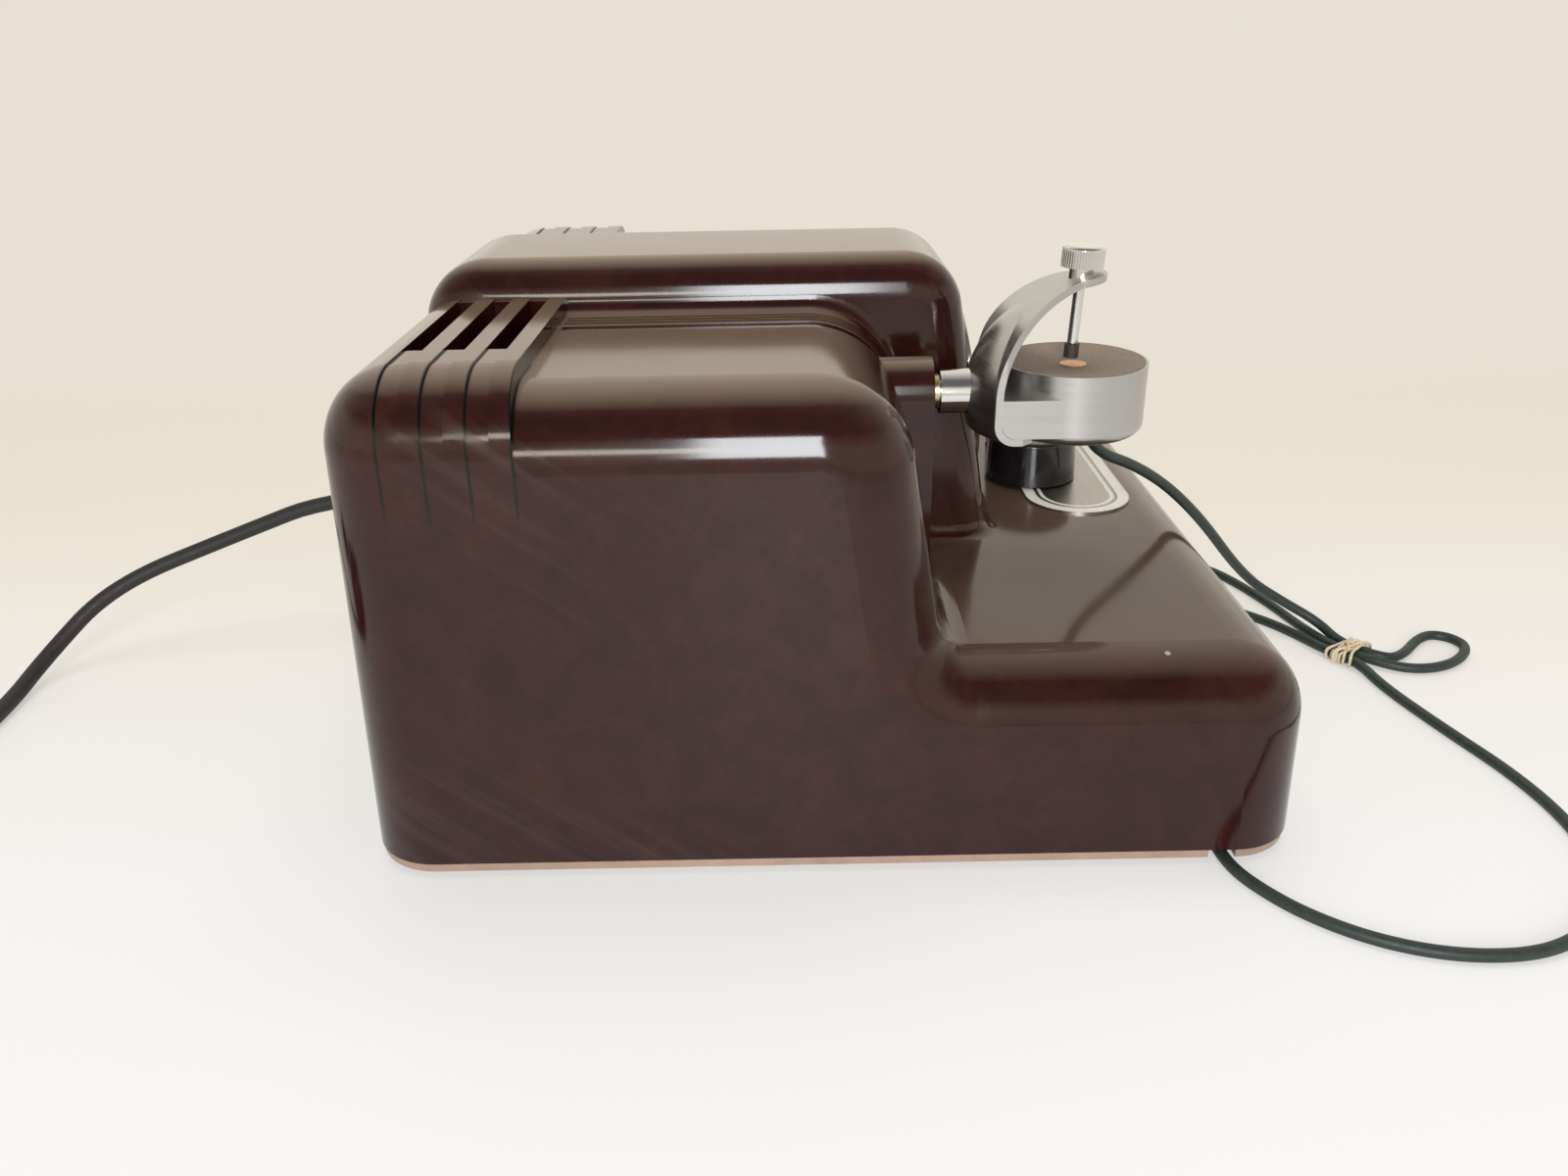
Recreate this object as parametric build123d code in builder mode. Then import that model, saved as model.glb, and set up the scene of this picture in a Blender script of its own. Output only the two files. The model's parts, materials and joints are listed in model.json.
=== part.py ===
from build123d import *
import os
from math import cos, pi, radians, sin, sqrt, tan

os.makedirs("parts", exist_ok=True)

# Bench machine for timing watches, in millimetres.
# The front faces -Y, the watch holder is on the -X side and z = 0 is the table.

# Moulded case
case_width = 284.0
case_length = 280.0
rim_z = 5.0
ledge_z = 64.0
shoulder_z = 145.0
hump_z = 161.0
hump_width = 82.0
wall = 4.0
draft = 1.5
rake = 8.5
shoulder_front = 31.6
hump_front = 59.5
hump_back = case_length / 2 - 4.6
side_round = 21.0
ledge_round = 21.5
shoulder_front_round = 28.0
back_round = 22.0
hump_front_round = 20.0
hump_side_round = 13.0
buried_round = 5.0
inner_round = 5.0
foot_round = 10.0
ledge_back = 30.0

# Louvres and speed lines on the shoulders
rib_width = 5.6
rib_height = 5.0
rib_relief = 0.6
rib_pitch = 11.6
rib_count = 3
rib_front_y = case_length / 2 - 57.3
slot_to = 103.0
slot_top_z = 157.0
slot_bite = 2.5
line_depth = 0.9
line_front_z = 118.0
line_gap = 1.5
line_spans = ((45.0, 46.2), (48.6, 49.8), (52.2, 53.4), (57.6, 63.0))

# Watch holder
holder_x = -58.0
shaft_z = 122.5
boss_y = -34.2
boss_half = 11.0
bush_diameter = 11.0
bush_front_y = -36.4
bush_back_y = -14.0
journal_diameter = 8.0
running_gap = 0.05
collar_diameter = 14.0
end_gap = 0.3
plate_thickness = 2.2
spine_y = -51.2
swell_radius = 34.0
swell_z = 120.0
swell_end_y = -66.0
collar_seat_y = -46.4
housing_y = -78.8
housing_radius = 23.0
housing_round = 3.5
housing_bottom_z = 110.0
housing_top_z = 132.0
housing_cut_y = -63.8
lug_bottom_z = 113.0
lug_top_z = 125.0
pad_radius = 22.2
pad_z = 132.2
pad_dish = 1.8
pad_rim = 0.6
button_radius = 4.2
button_rise = 0.3
spine_half = 22.0
arm_half = 9.0
arm_bend = 32.9
arm_slope = 8.0
arm_taper_y = -54.0
screw_y = -77.7
screw_lean = 2.5
screw_diameter = 3.4
neck_diameter = 7.5
clamp_knob_diameter = 13.0
clamp_knob_height = 6.5
tip_diameter = 4.6
tip_length = 4.3
tip_gap = 2.4
spigot_diameter = 2.4
spigot_length = 3.5
swivel_nut_size = 13.0

# Small fittings of the holder
journal_end = 4.0
swivel_nut_height = 6.0
flange_end_y = -63.4
flange_bend = 5.3
flange_corner = 3.4
arm_z = 156.9
neck_bottom = 24.6
neck_top = 30.0
knob_bottom = 30.3
clamp_knob_bore = 4.5
clamp_knob_round = 1.4
knurl_count = 48
knurl_diameter = 0.6
knurl_offset = 0.12
small_screw = 3.0
small_head = 5.5
small_head_height = 1.8
small_screw_depth = 6.0
lug_screw_half = 13.0
lug_screw_y = -60.4
cover_screw_radius = 10.5
cover_screw_angles = (9.0, 99.0, 189.0, 279.0)
cover_radius = 13.5
cover_gauge = 2.5
cavity_top_z = 125.6
pad_seat_z = 128.8
crystal_size = (20.0, 12.0, 2.0)
boot_point = (-45.5, -87.8)
boot_top = 7.0
boot_foot = 5.2
boot_bottom_z = 104.5

# Controls on the ledge
control_points = ((23.0, 55.0 - case_length / 2), (66.0, 48.0 - case_length / 2))
plate_xs = (0.0, 61.0)
plate_y = 41.5 - case_length / 2
plate_radius = 19.8
plate_gauge = 0.8
control_shaft_diameter = 6.3
control_bush_diameter = 9.5
control_body_diameter = 24.0
control_body_height = 13.0
knob_diameter = 35.0
knob_height = 17.0
knob_gap = 0.6
control_nut_size = 13.0
control_nut_height = 2.4
shaft_depth = 10.0
knob_bore = 13.0
knob_taper = 2.0
knob_round = 1.6
knob_recess = 18.0
knob_mark_width = 1.4
knob_mark_depth = 2.0

# Base
base_gauge = 3.0
base_inset = 0.6
foot_diameter = 18.0
foot_x = case_width / 2 - 30.0
foot_y = case_length / 2 - 28.0
pillar_x = case_width / 2 - 9.0
pillar_y = case_length / 2 - 56.0
pillar_diameter = 12.0
pillar_top_z = 30.0
screw_shank = 4.0
notch_width = 8.0
notch_depth = 14.0
grommet_length = 7.0
vent_pitch = 26.0
vent_diameter = 8.0
screw_head = 7.5
screw_head_height = 1.6

# Window in the hump
window_z = 112.0
window_hole = 54.0
bezel_flange = 60.0
bezel_lip = 46.0
bezel_gauge = 1.4
glass_diameter = 50.0
glass_gauge = 2.0
dial_opening = 34.0
dial_gauge = 0.8
disc_diameter = 45.0
disc_gauge = 0.8
disc_gap = 1.0
motor_shaft_diameter = 4.0
motor_diameter = 44.0
motor_front = -16.0
motor_back = -48.0
bezel_depth = 6.0
hub_diameter = 10.0
hub_length = 4.0
disc_mark_radius = 19.5
disc_mark_count = 12
disc_mark_length = 3.2
disc_mark_width = 1.6
motor_nose = 3.0
shaft_in_motor = 10.0
bracket_width = 40.0
bracket_gauge = 2.0
bracket_margin = 12.0
bracket_foot = 22.0
bracket_foot_y = -2.0
lamp_rise = 31.0
lamp_back = -26.0
lamp_length = 16.0
lamp_diameter = 9.0
lamp_holder_diameter = 13.0

# Chassis and what stands on it
chassis_z = 40.0
chassis_gauge = 1.6
chassis_half_x = case_width / 2 - 32.0
chassis_front_y = -18.0
chassis_back_y = case_length / 2 - 22.0
chassis_flange = 18.0
post_x = chassis_half_x - 10.0
post_ys = (chassis_front_y + 24.0, chassis_back_y - 12.0)
post_diameter = 9.0
valve_row_y = chassis_back_y - 23.0
valve_pitch = 50.0
valve_x = -78.0
valve_gap_x = 53.0
transformer_x = chassis_half_x - 38.0
transformer_y = chassis_back_y - 56.0
can_x = 25.0
can_y = chassis_back_y - 26.0
post_thread = 10.0
core_size = (66.0, 34.0, 56.0)
strap_foot = 12.0
strap_gauge = 1.2
strap_width = 20.0
can_height = 68.0
can_diameter = 30.0
socket_height = 7.0
socket_diameter = 32.0
valve_base = 30.0
valve_base_height = 17.0
valve_glass = 28.0
valve_glass_height = 54.0

# Leads
mains_diameter = 6.0
mains_exit_x = 30.0
mains_exit_z = 60.0
relief_seat = 0.4
relief_neck = 10.0
relief_flange = 15.0
relief_flange_gauge = 2.0
relief_length = 26.0
relief_inside = 8.0
relief_root = 12.0
relief_end = 8.0
bend_share = 0.45
steps_per_diameter = 3
near_diameters = 4
tie_gauge = 0.8
tie_width = 8.0
tie_gap = 0.3
coil_x = -112.0
coil_y = 346.0
coil_gap = 0.7
coil_inner_radius = 22.0
coil_half_turns = 7
tail_length = 46.0
plug_diameter = 30.0
plug_length = 34.0
plug_nose = 10.0
plug_gap = 0.4
plug_pin = 5.0
plug_pin_length = 19.0
plug_pin_pitch = 19.0
lead_diameter = 3.8
table_gap = 0.1
lead_z = lead_diameter / 2 + table_gap
pass_pitch = 5.0
pass_half = 7.0
tie_x = -17.0
tie_y = -206.5
tie_heading = (-0.8, -0.6)
entry_x = -case_width / 2 - 1.5
entry_y = 25.0 - case_length / 2
entry_z = 2.6
coil_run_in = 32.0
mains_turn_y = 192.0
boot_turn_z = 98.5
mains_route = (
    (24.5, 238.0, 44.0),
    (9.0, 284.0, 29.5),
    (-13.0, 304.0, 9.0),
    (-40.0, 305.0, 3.1),
)
drop_route = (
    (-28.0, -115.0, 84.5),
    (-15.0, -139.5, 63.0),
    (6.0, -170.0, 26.0),
    (7.0, -188.0, 14.0),
    (3.5, -202.0, 6.5),
)
small_loop = (
    (-21.8, -224.4),
    (-1.0, -243.0),
    (-3.7, -253.1),
    (-13.8, -255.8),
    (-27.2, -242.4),
    (-30.5, -225.0),
)
large_loop = (
    (6.0, -198.0),
    (30.0, -193.0),
    (52.0, -186.0),
    (68.0, -178.0),
    (72.0, -165.0),
    (62.0, -156.5),
    (46.0, -158.0),
    (29.0, -170.0),
    (14.0, -185.0),
    (2.0, -192.5),
)
way_back = (
    (-42.0, -208.5),
    (-71.0, -215.6),
    (-103.0, -225.0),
    (-131.0, -227.0),
    (-156.0, -221.0),
    (-174.0, -207.0),
    (-184.5, -188.0),
    (-185.5, -166.0),
    (-179.5, -146.0),
    (-168.0, -130.0),
    (-154.0, -119.5),
)

slope = tan(radians(draft))
lean = tan(radians(rake))
shoulder_foot = shoulder_front + (ledge_z - rim_z) * lean
hump_foot = hump_front + (ledge_z - rim_z) * lean


def save(part, name):
    part.label = name
    export_step(part, f"parts/{name}.step")


# Round pieces on one plane: each step is a start, an end and a diameter along its Z
def turned(plane, steps, bores=(), points=((0, 0),)):
    with BuildPart() as piece:
        for start, end, diameter in steps:
            with BuildSketch(plane.offset(start)):
                with Locations(*points):
                    Circle(diameter / 2)
            extrude(amount=end - start)
        for start, end, diameter in bores:
            with BuildSketch(plane.offset(start)):
                with Locations(*points):
                    Circle(diameter / 2)
            extrude(amount=end - start, mode=Mode.SUBTRACT)
    return piece.part


# Bend radii of a cord's route, each from the shorter run beside it
def bend_radii(points):
    radii = []
    for before, here, after in zip(points, points[1:], points[2:]):
        run_in = Vector(*here) - Vector(*before)
        run_out = Vector(*after) - Vector(*here)
        half_turn = radians(run_in.get_angle(run_out)) / 2
        radii.append(bend_share * min(run_in.length, run_out.length) / tan(half_turn))
    return radii


# Least gap of a cord to itself, between points well apart along it
def least_gap(line, diameter):
    count = int(line.length / diameter * steps_per_diameter)
    points = [line.position_at(k / count) for k in range(count + 1)]
    skip = near_diameters * steps_per_diameter
    pairs = [
        (points[i] - points[j]).length
        for i in range(len(points))
        for j in range(i + skip, len(points))
    ]
    return min(pairs) - diameter


# Round cord through route points, as straight runs and tangent arcs
def cord(points, diameter, name):
    radii = bend_radii(points)
    with BuildPart() as tube:
        with BuildLine() as route:
            FilletPolyline(*points, radius=radii)
        path = route.wire()
        with BuildSketch(Plane(origin=path @ 0, z_dir=path % 0)):
            Circle(diameter / 2)
        sweep(path=path)
    save(tube.part, name)
    swept = tube.part.volume / (pi * diameter**2 / 4 * path.length)
    print(f"{name}: length {path.length:.1f}, tightest bend {min(radii):.1f},", end=" ")
    print(f"least gap {least_gap(path, diameter):.2f}, volume share {swept:.4f}")


# Two tangent arcs from one point and heading to another
def biarc(start, start_heading, end, end_heading):
    span = end - start
    along = span.dot(start_heading + end_heading)
    turn = 2 * (1 - start_heading.dot(end_heading))
    reach = (sqrt(along**2 + turn * span.dot(span)) - along) / turn
    middle = (start + end + (start_heading - end_heading) * reach) * 0.5
    first = TangentArc(start, middle, tangent=start_heading)
    TangentArc(middle, end, tangent=first % 1)


# Side view of one block of the case, with its two upper corners rounded
def side_profile(back, front, top, front_lean, back_corner, front_corner):
    rise = top - rim_z
    with BuildSketch(Plane.YZ) as profile:
        with BuildLine():
            Polyline(
                (back, rim_z),
                (back - rise * slope, top),
                (rise * front_lean - front, top),
                (-front, rim_z),
                close=True,
            )
        make_face()
        fillet(profile.vertices().group_by(Axis.Y)[-1].sort_by(Axis.X)[-1], back_corner)
        fillet(profile.vertices().group_by(Axis.Y)[-1].sort_by(Axis.X)[0], front_corner)
    return profile.sketch


# One block of the case with drafted and rounded sides
def case_block(profile, half_width, round_radius):
    with BuildPart() as block:
        extrude(profile, amount=half_width + wall, both=True)
        for side in (-1, 1):
            outward = (side * cos(radians(draft)), 0, sin(radians(draft)))
            split(bisect_by=Plane(origin=(side * half_width, 0, rim_z), z_dir=outward), keep=Keep.BOTTOM)
        ends = block.faces().sort_by(Axis.X)
        fillet(ends[0].edges().sort_by(Axis.Z)[1:] + ends[-1].edges().sort_by(Axis.Z)[1:], round_radius)
    return block.part


def shoulder_profile(inset, rise=0.0):
    return side_profile(
        case_length / 2 - inset,
        shoulder_foot - inset,
        shoulder_z - inset + rise,
        lean,
        back_round - inset,
        shoulder_front_round - inset,
    )


# Shoulders and ledge from one stepped side view, with the hump, drawn in by an inset for the hollow
def case_form(inset):
    ledge_profile = side_profile(
        ledge_back,
        case_length / 2 - inset,
        ledge_z - inset,
        slope,
        buried_round,
        ledge_round - inset,
    )
    hump_profile = side_profile(
        hump_back - inset,
        hump_foot - inset,
        hump_z - inset,
        lean,
        back_round - inset,
        hump_front_round - inset,
    )
    with BuildSketch() as step_view:
        add(Plane.YZ.to_local_coords(shoulder_profile(inset)))
        add(Plane.YZ.to_local_coords(ledge_profile))
        foot_corner = step_view.vertices().sort_by_distance((-shoulder_front, ledge_z))[0]
        fillet(foot_corner, foot_round + inset)
    step_profile = Plane.YZ.from_local_coords(step_view.sketch)
    step_block = case_block(step_profile, case_width / 2 - inset, side_round - inset)
    hump = case_block(hump_profile, hump_width / 2 - inset, hump_side_round - inset)
    with BuildPart() as form:
        add(step_block)
        add(hump)
    return form.part


post_points = [(side * post_x, y) for y in post_ys for side in (-1, 1)]
valve_points = [
    (valve_x, valve_row_y - valve_pitch),
    (valve_x, valve_row_y),
    (valve_x + valve_gap_x, valve_row_y),
]

# Plane on the hump's raked front, with its Z outward
window_y = (window_z - ledge_z) * lean - hump_front
window_plane = Plane(
    origin=(0, window_y, window_z),
    x_dir=(1, 0, 0),
    z_dir=(0, -cos(radians(rake)), sin(radians(rake))),
)

# Plane of the clamp screw, through the middle of the pad, with its Z along the screw
screw_plane = Plane(
    origin=(holder_x, screw_y, pad_z - pad_dish),
    x_dir=(1, 0, 0),
    z_dir=(0, -sin(radians(screw_lean)), cos(radians(screw_lean))),
)

# Flat seat of the mains lead's strain relief on the back wall, with its Z backward
relief_y = case_length / 2 - (mains_exit_z - rim_z) * slope - relief_seat
relief_plane = Plane(origin=(mains_exit_x, relief_y, mains_exit_z), x_dir=(-1, 0, 0), z_dir=(0, 1, 0))

# Shaft of the watch holder, with its Z forward
swivel_plane = Plane(origin=(holder_x, 0, shaft_z), x_dir=(1, 0, 0), z_dir=(0, -1, 0))

rib_ys = [rib_front_y + rib_width / 2 + k * rib_pitch for k in range(rib_count)]
rear_rib_y = rib_front_y + rib_count * rib_pitch
line_back_y = rib_front_y - line_gap
slot_from = hump_width / 2 - slot_bite
slot_bottom_z = shoulder_z - 2 * wall
slot_middle = ((slot_from + slot_to) / 2, (slot_bottom_z + slot_top_z) / 2)
slot_points = [
    (side * slot_middle[0], y + rib_pitch / 2, slot_middle[1]) for y in rib_ys for side in (-1, 1)
]
lug_screw_points = [(holder_x + side * lug_screw_half, lug_screw_y) for side in (-1, 1)]
cover_screw_points = [
    (
        holder_x + cover_screw_radius * cos(radians(angle)),
        housing_y + cover_screw_radius * sin(radians(angle)),
    )
    for angle in cover_screw_angles
]
pillar_points = [(sx * pillar_x, sy * pillar_y) for sx in (-1, 1) for sy in (-1, 1)]
foot_points = [(sx * foot_x, sy * foot_y) for sx in (-1, 1) for sy in (-1, 1)]

outer_form = case_form(0)
hollow_form = case_form(wall)
rib_form = case_block(shoulder_profile(0, rib_height), case_width / 2, side_round)
strip_form = case_block(shoulder_profile(0, rib_height - rib_relief), case_width / 2, side_round)
shoulder_outline = shoulder_profile(0)
line_floor = shoulder_profile(line_depth)

# Outside of the case with the inner corners round the hump rounded
with BuildPart() as outer_case:
    add(outer_form)
    fillet([edge for edge in outer_case.edges() if edge.is_interior], inner_round)

# Louvre ribs, slices of a taller shoulder block, with the strips between them a little lower
with BuildPart() as louvre_ribs:
    with Locations(*[(0, y, shoulder_z - side_round) for y in rib_ys]):
        Box(case_width, rib_width, 4 * side_round)
    with Locations((0, (rear_rib_y + case_length / 2) / 2, shoulder_z - side_round)):
        Box(case_width, case_length / 2 - rear_rib_y, 4 * side_round)
    add(rib_form, mode=Mode.INTERSECT)

with BuildPart() as louvre_strips:
    with Locations((0, (rib_front_y + rear_rib_y) / 2, shoulder_z - side_round)):
        Box(case_width, rear_rib_y - rib_front_y, 4 * side_round)
    add(strip_form, mode=Mode.INTERSECT)

# Speed lines, thin slices between the shoulder's side view and a slightly smaller one
with BuildSketch() as line_section:
    add(Plane.YZ.to_local_coords(shoulder_outline))
    add(Plane.YZ.to_local_coords(line_floor), mode=Mode.SUBTRACT)
    with Locations((line_back_y - case_length / 2, line_front_z + case_length / 2)):
        Rectangle(case_length, case_length, mode=Mode.INTERSECT)

with BuildPart() as speed_lines:
    for side in (-1, 1):
        for start, end in line_spans:
            with BuildSketch(Plane.YZ.offset(side * (start + end) / 2)):
                add(line_section.sketch)
            extrude(amount=(end - start) / 2, both=True)

with BuildPart() as case_shell:
    add(outer_case.part)
    add(louvre_strips.part)
    add(louvre_ribs.part)
    add(speed_lines.part, mode=Mode.SUBTRACT)
    with BuildSketch(Plane.XZ.offset(-boss_y)):
        with Locations((holder_x, shaft_z)):
            Circle(boss_half)
        with Locations((holder_x, (shaft_z + ledge_z - wall) / 2)):
            Rectangle(2 * boss_half, shaft_z - ledge_z + wall)
    extrude(amount=boss_y - bush_back_y)
    add(hollow_form, mode=Mode.SUBTRACT)
    with Locations(*slot_points):
        Box(
            slot_to - slot_from,
            rib_pitch - rib_width,
            slot_top_z - slot_bottom_z,
            mode=Mode.SUBTRACT,
        )
    with BuildSketch(Plane.XZ.offset(-boss_y)):
        with Locations((holder_x, shaft_z)):
            Circle(bush_diameter / 2)
    extrude(amount=-2 * boss_half - wall, mode=Mode.SUBTRACT)
    with BuildSketch(window_plane.offset(wall)):
        Circle(window_hole / 2)
    extrude(amount=-4 * wall, mode=Mode.SUBTRACT)
    with BuildSketch(Plane.XY.offset(ledge_z + wall)):
        with Locations(*control_points):
            Circle(control_bush_diameter / 2)
    extrude(amount=-3 * wall, mode=Mode.SUBTRACT)
    with BuildSketch(relief_plane):
        Circle(relief_flange / 2 + end_gap)
    extrude(amount=wall, mode=Mode.SUBTRACT)
    with BuildSketch(relief_plane):
        Circle(relief_neck / 2)
    extrude(amount=-2 * wall, mode=Mode.SUBTRACT)
    with BuildSketch(Plane.XY.offset(rim_z)):
        with Locations(*pillar_points):
            Circle(pillar_diameter / 2)
    extrude(amount=pillar_top_z - rim_z)
    with BuildSketch(Plane.XY.offset(rim_z)):
        with Locations(*pillar_points):
            Circle(screw_shank / 2)
    extrude(amount=pillar_top_z - rim_z - wall, mode=Mode.SUBTRACT)
save(case_shell.part, "case_shell")

# Base plate with its notch for the microphone lead
with BuildPart() as base_plate:
    with BuildSketch(Plane.XY.offset(rim_z - base_gauge)):
        RectangleRounded(case_width - 2 * base_inset, case_length - 2 * base_inset, side_round - base_inset)
        with Locations((-case_width / 2, entry_y)):
            Rectangle(2 * notch_depth, notch_width, mode=Mode.SUBTRACT)
        with Locations(*pillar_points):
            Circle(screw_shank / 2, mode=Mode.SUBTRACT)
        with GridLocations(vent_pitch, vent_pitch, 5, 3):
            Circle(vent_diameter / 2, mode=Mode.SUBTRACT)
    extrude(amount=base_gauge)
    with BuildSketch(Plane.XY.offset(rim_z - base_gauge)):
        with Locations(*pillar_points):
            Circle(screw_head / 2)
    extrude(amount=screw_head_height, mode=Mode.SUBTRACT)
save(base_plate.part, "base_plate")

rubber_feet = turned(Plane.XY, ((0, rim_z - base_gauge, foot_diameter),), points=foot_points)
save(rubber_feet, "rubber_feet")

base_screw_steps = (
    (rim_z - base_gauge, rim_z - base_gauge + screw_head_height, screw_head),
    (rim_z - base_gauge + screw_head_height, pillar_top_z - 2 * wall, screw_shank),
)
base_screws = turned(Plane.XY, base_screw_steps, points=pillar_points)
save(base_screws, "base_screws")

with BuildPart() as lead_grommet:
    with Locations((notch_depth - case_width / 2 - grommet_length / 2, entry_y, (rim_z + table_gap) / 2)):
        Box(grommet_length, notch_width, rim_z - table_gap)
save(lead_grommet.part, "lead_grommet")

# Watch holder: bush, shaft and nut
swivel_bush = turned(
    swivel_plane,
    ((-bush_back_y, -bush_front_y, bush_diameter),),
    ((-bush_back_y, -bush_front_y, journal_diameter + 2 * running_gap),),
)
save(swivel_bush, "swivel_bush")

swivel_shaft = turned(
    swivel_plane,
    (
        (journal_end, end_gap - bush_front_y, journal_diameter),
        (end_gap - bush_front_y, -collar_seat_y, collar_diameter),
        (-collar_seat_y, plate_thickness - spine_y, journal_diameter),
    ),
)
save(swivel_shaft, "swivel_shaft")

with BuildPart() as shaft_nut:
    with BuildSketch(swivel_plane.offset(-bush_back_y - end_gap)):
        RegularPolygon(swivel_nut_size / 2, 6, major_radius=False)
        Circle(journal_diameter / 2, mode=Mode.SUBTRACT)
    extrude(amount=-swivel_nut_height)
save(shaft_nut.part, "shaft_nut")

# Clamp frame: a bent plate, wide at the spine and narrow at the arm, swelling out round the shaft
flange_mid_z = lug_bottom_z - plate_thickness / 2
spine_mid_y = spine_y - plate_thickness / 2
arm_rise = tan(radians(arm_slope))
frame_line = (
    (flange_end_y, flange_mid_z),
    (spine_mid_y, flange_mid_z),
    (spine_mid_y, arm_z - (spine_mid_y - screw_y) * arm_rise),
    (screw_y - arm_half, arm_z + arm_half * arm_rise),
)
with BuildPart() as swell:
    with Locations((holder_x, housing_y, swell_z)):
        Sphere(swell_radius)
    with Locations((holder_x, swell_end_y, flange_mid_z)):
        Box(
            2 * spine_half,
            2 * swell_radius,
            2 * swell_radius,
            align=(Align.CENTER, Align.MIN, Align.MIN),
            mode=Mode.INTERSECT,
        )
    with BuildSketch(Plane.YZ.offset(holder_x)):
        with BuildLine():
            FilletPolyline(*frame_line, radius=[flange_bend, arm_bend])
            Polyline(frame_line[-1], (screw_y - arm_half, flange_mid_z), frame_line[0])
        make_face()
    extrude(amount=swell_radius, both=True, mode=Mode.SUBTRACT)

with BuildPart() as clamp_frame:
    with BuildSketch(Plane.YZ.offset(holder_x)):
        with BuildLine():
            FilletPolyline(*frame_line, radius=[flange_bend, arm_bend])
        trace(line_width=plate_thickness)
    extrude(amount=spine_half, both=True)
    chamfer(clamp_frame.edges().filter_by(Axis.Z).group_by(Axis.Y)[0], flange_corner)
    add(swell.part)
    with BuildSketch(Plane.XY.offset(lug_top_z)):
        with Locations((holder_x, screw_y)):
            Rectangle(4 * spine_half, 4 * spine_half)
            Circle(arm_half, mode=Mode.SUBTRACT)
        with BuildLine():
            Polyline(
                (holder_x - spine_half, arm_taper_y),
                (holder_x - arm_half, screw_y),
                (holder_x + arm_half, screw_y),
                (holder_x + spine_half, arm_taper_y),
                (holder_x + spine_half, boss_y),
                (holder_x - spine_half, boss_y),
                close=True,
            )
        make_face(mode=Mode.SUBTRACT)
    extrude(amount=2 * spine_half, mode=Mode.SUBTRACT)
    with BuildSketch(swivel_plane.offset(-collar_seat_y)):
        Circle(collar_diameter / 2 + end_gap)
    extrude(amount=collar_seat_y - boss_y, mode=Mode.SUBTRACT)
    with BuildSketch(swivel_plane.offset(-collar_seat_y)):
        Circle(journal_diameter / 2)
    extrude(amount=collar_seat_y - spine_y + plate_thickness, mode=Mode.SUBTRACT)
    with BuildSketch(Plane.XY.offset(lug_bottom_z)):
        with Locations((holder_x, housing_y)):
            Circle(housing_radius + end_gap)
    extrude(amount=flange_bend, mode=Mode.SUBTRACT)
    with BuildSketch(Plane.XY.offset(housing_bottom_z)):
        with Locations(*lug_screw_points):
            Circle(small_screw / 2)
    extrude(amount=lug_bottom_z - housing_bottom_z, mode=Mode.SUBTRACT)
    with BuildSketch(screw_plane.offset(neck_bottom)):
        Circle(neck_diameter / 2)
    extrude(amount=neck_top - neck_bottom, mode=Mode.SUBTRACT)
save(clamp_frame.part, "clamp_frame")

# Microphone housing with its lug, hollow from below and cut away for the frame's flange
lug_back_y = spine_y - plate_thickness
lug_round = flange_bend - plate_thickness / 2 + end_gap
with BuildPart() as microphone_housing:
    with BuildSketch(Plane.XY.offset(housing_bottom_z)):
        with Locations((holder_x, housing_y)):
            Circle(housing_radius)
    extrude(amount=housing_top_z - housing_bottom_z)
    fillet(microphone_housing.edges().group_by(Axis.Z)[0], housing_round)
    with Locations((holder_x, housing_cut_y, lug_bottom_z)):
        Box(
            4 * spine_half,
            2 * housing_radius,
            2 * housing_radius,
            align=(Align.CENTER, Align.MIN, Align.MAX),
            mode=Mode.SUBTRACT,
        )
    with BuildSketch(Plane.YZ.offset(holder_x)) as lug:
        with BuildLine():
            Polyline(
                (housing_y, lug_bottom_z),
                (lug_back_y, lug_bottom_z),
                (lug_back_y, lug_top_z),
                (housing_y, lug_top_z),
                close=True,
            )
        make_face()
        fillet(lug.vertices().group_by(Axis.X)[-1].sort_by(Axis.Y)[0], lug_round)
    extrude(amount=spine_half, both=True)
    with BuildSketch(Plane.XY.offset(housing_bottom_z)):
        with Locations((holder_x, housing_y)):
            Circle(cover_radius)
    extrude(amount=cavity_top_z - housing_bottom_z, mode=Mode.SUBTRACT)
    with BuildSketch(Plane.XY.offset(pad_seat_z)):
        with Locations((holder_x, housing_y)):
            Circle(pad_radius)
    extrude(amount=pad_z - pad_seat_z, mode=Mode.SUBTRACT)
    with BuildSketch(Plane.XY.offset(lug_bottom_z)):
        with Locations(*lug_screw_points):
            Circle(small_screw / 2)
    extrude(amount=small_screw_depth, mode=Mode.SUBTRACT)
save(microphone_housing.part, "microphone_housing")

# Pad, dished towards the contact button in its middle
with BuildPart() as microphone_pad:
    with BuildSketch(Plane.XY.offset(pad_seat_z)):
        with Locations((holder_x, housing_y)):
            Circle(pad_radius)
            Circle(button_radius, mode=Mode.SUBTRACT)
    extrude(amount=pad_z - pad_seat_z)
    with Locations((holder_x, housing_y, pad_z)):
        Cone(
            button_radius,
            pad_radius - pad_rim,
            pad_dish,
            align=(Align.CENTER, Align.CENTER, Align.MAX),
            mode=Mode.SUBTRACT,
        )
save(microphone_pad.part, "microphone_pad")

contact_button = turned(
    Plane((holder_x, housing_y, 0)),
    ((pad_seat_z, pad_z - pad_dish + button_rise, 2 * button_radius),),
)
save(contact_button, "contact_button")

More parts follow.
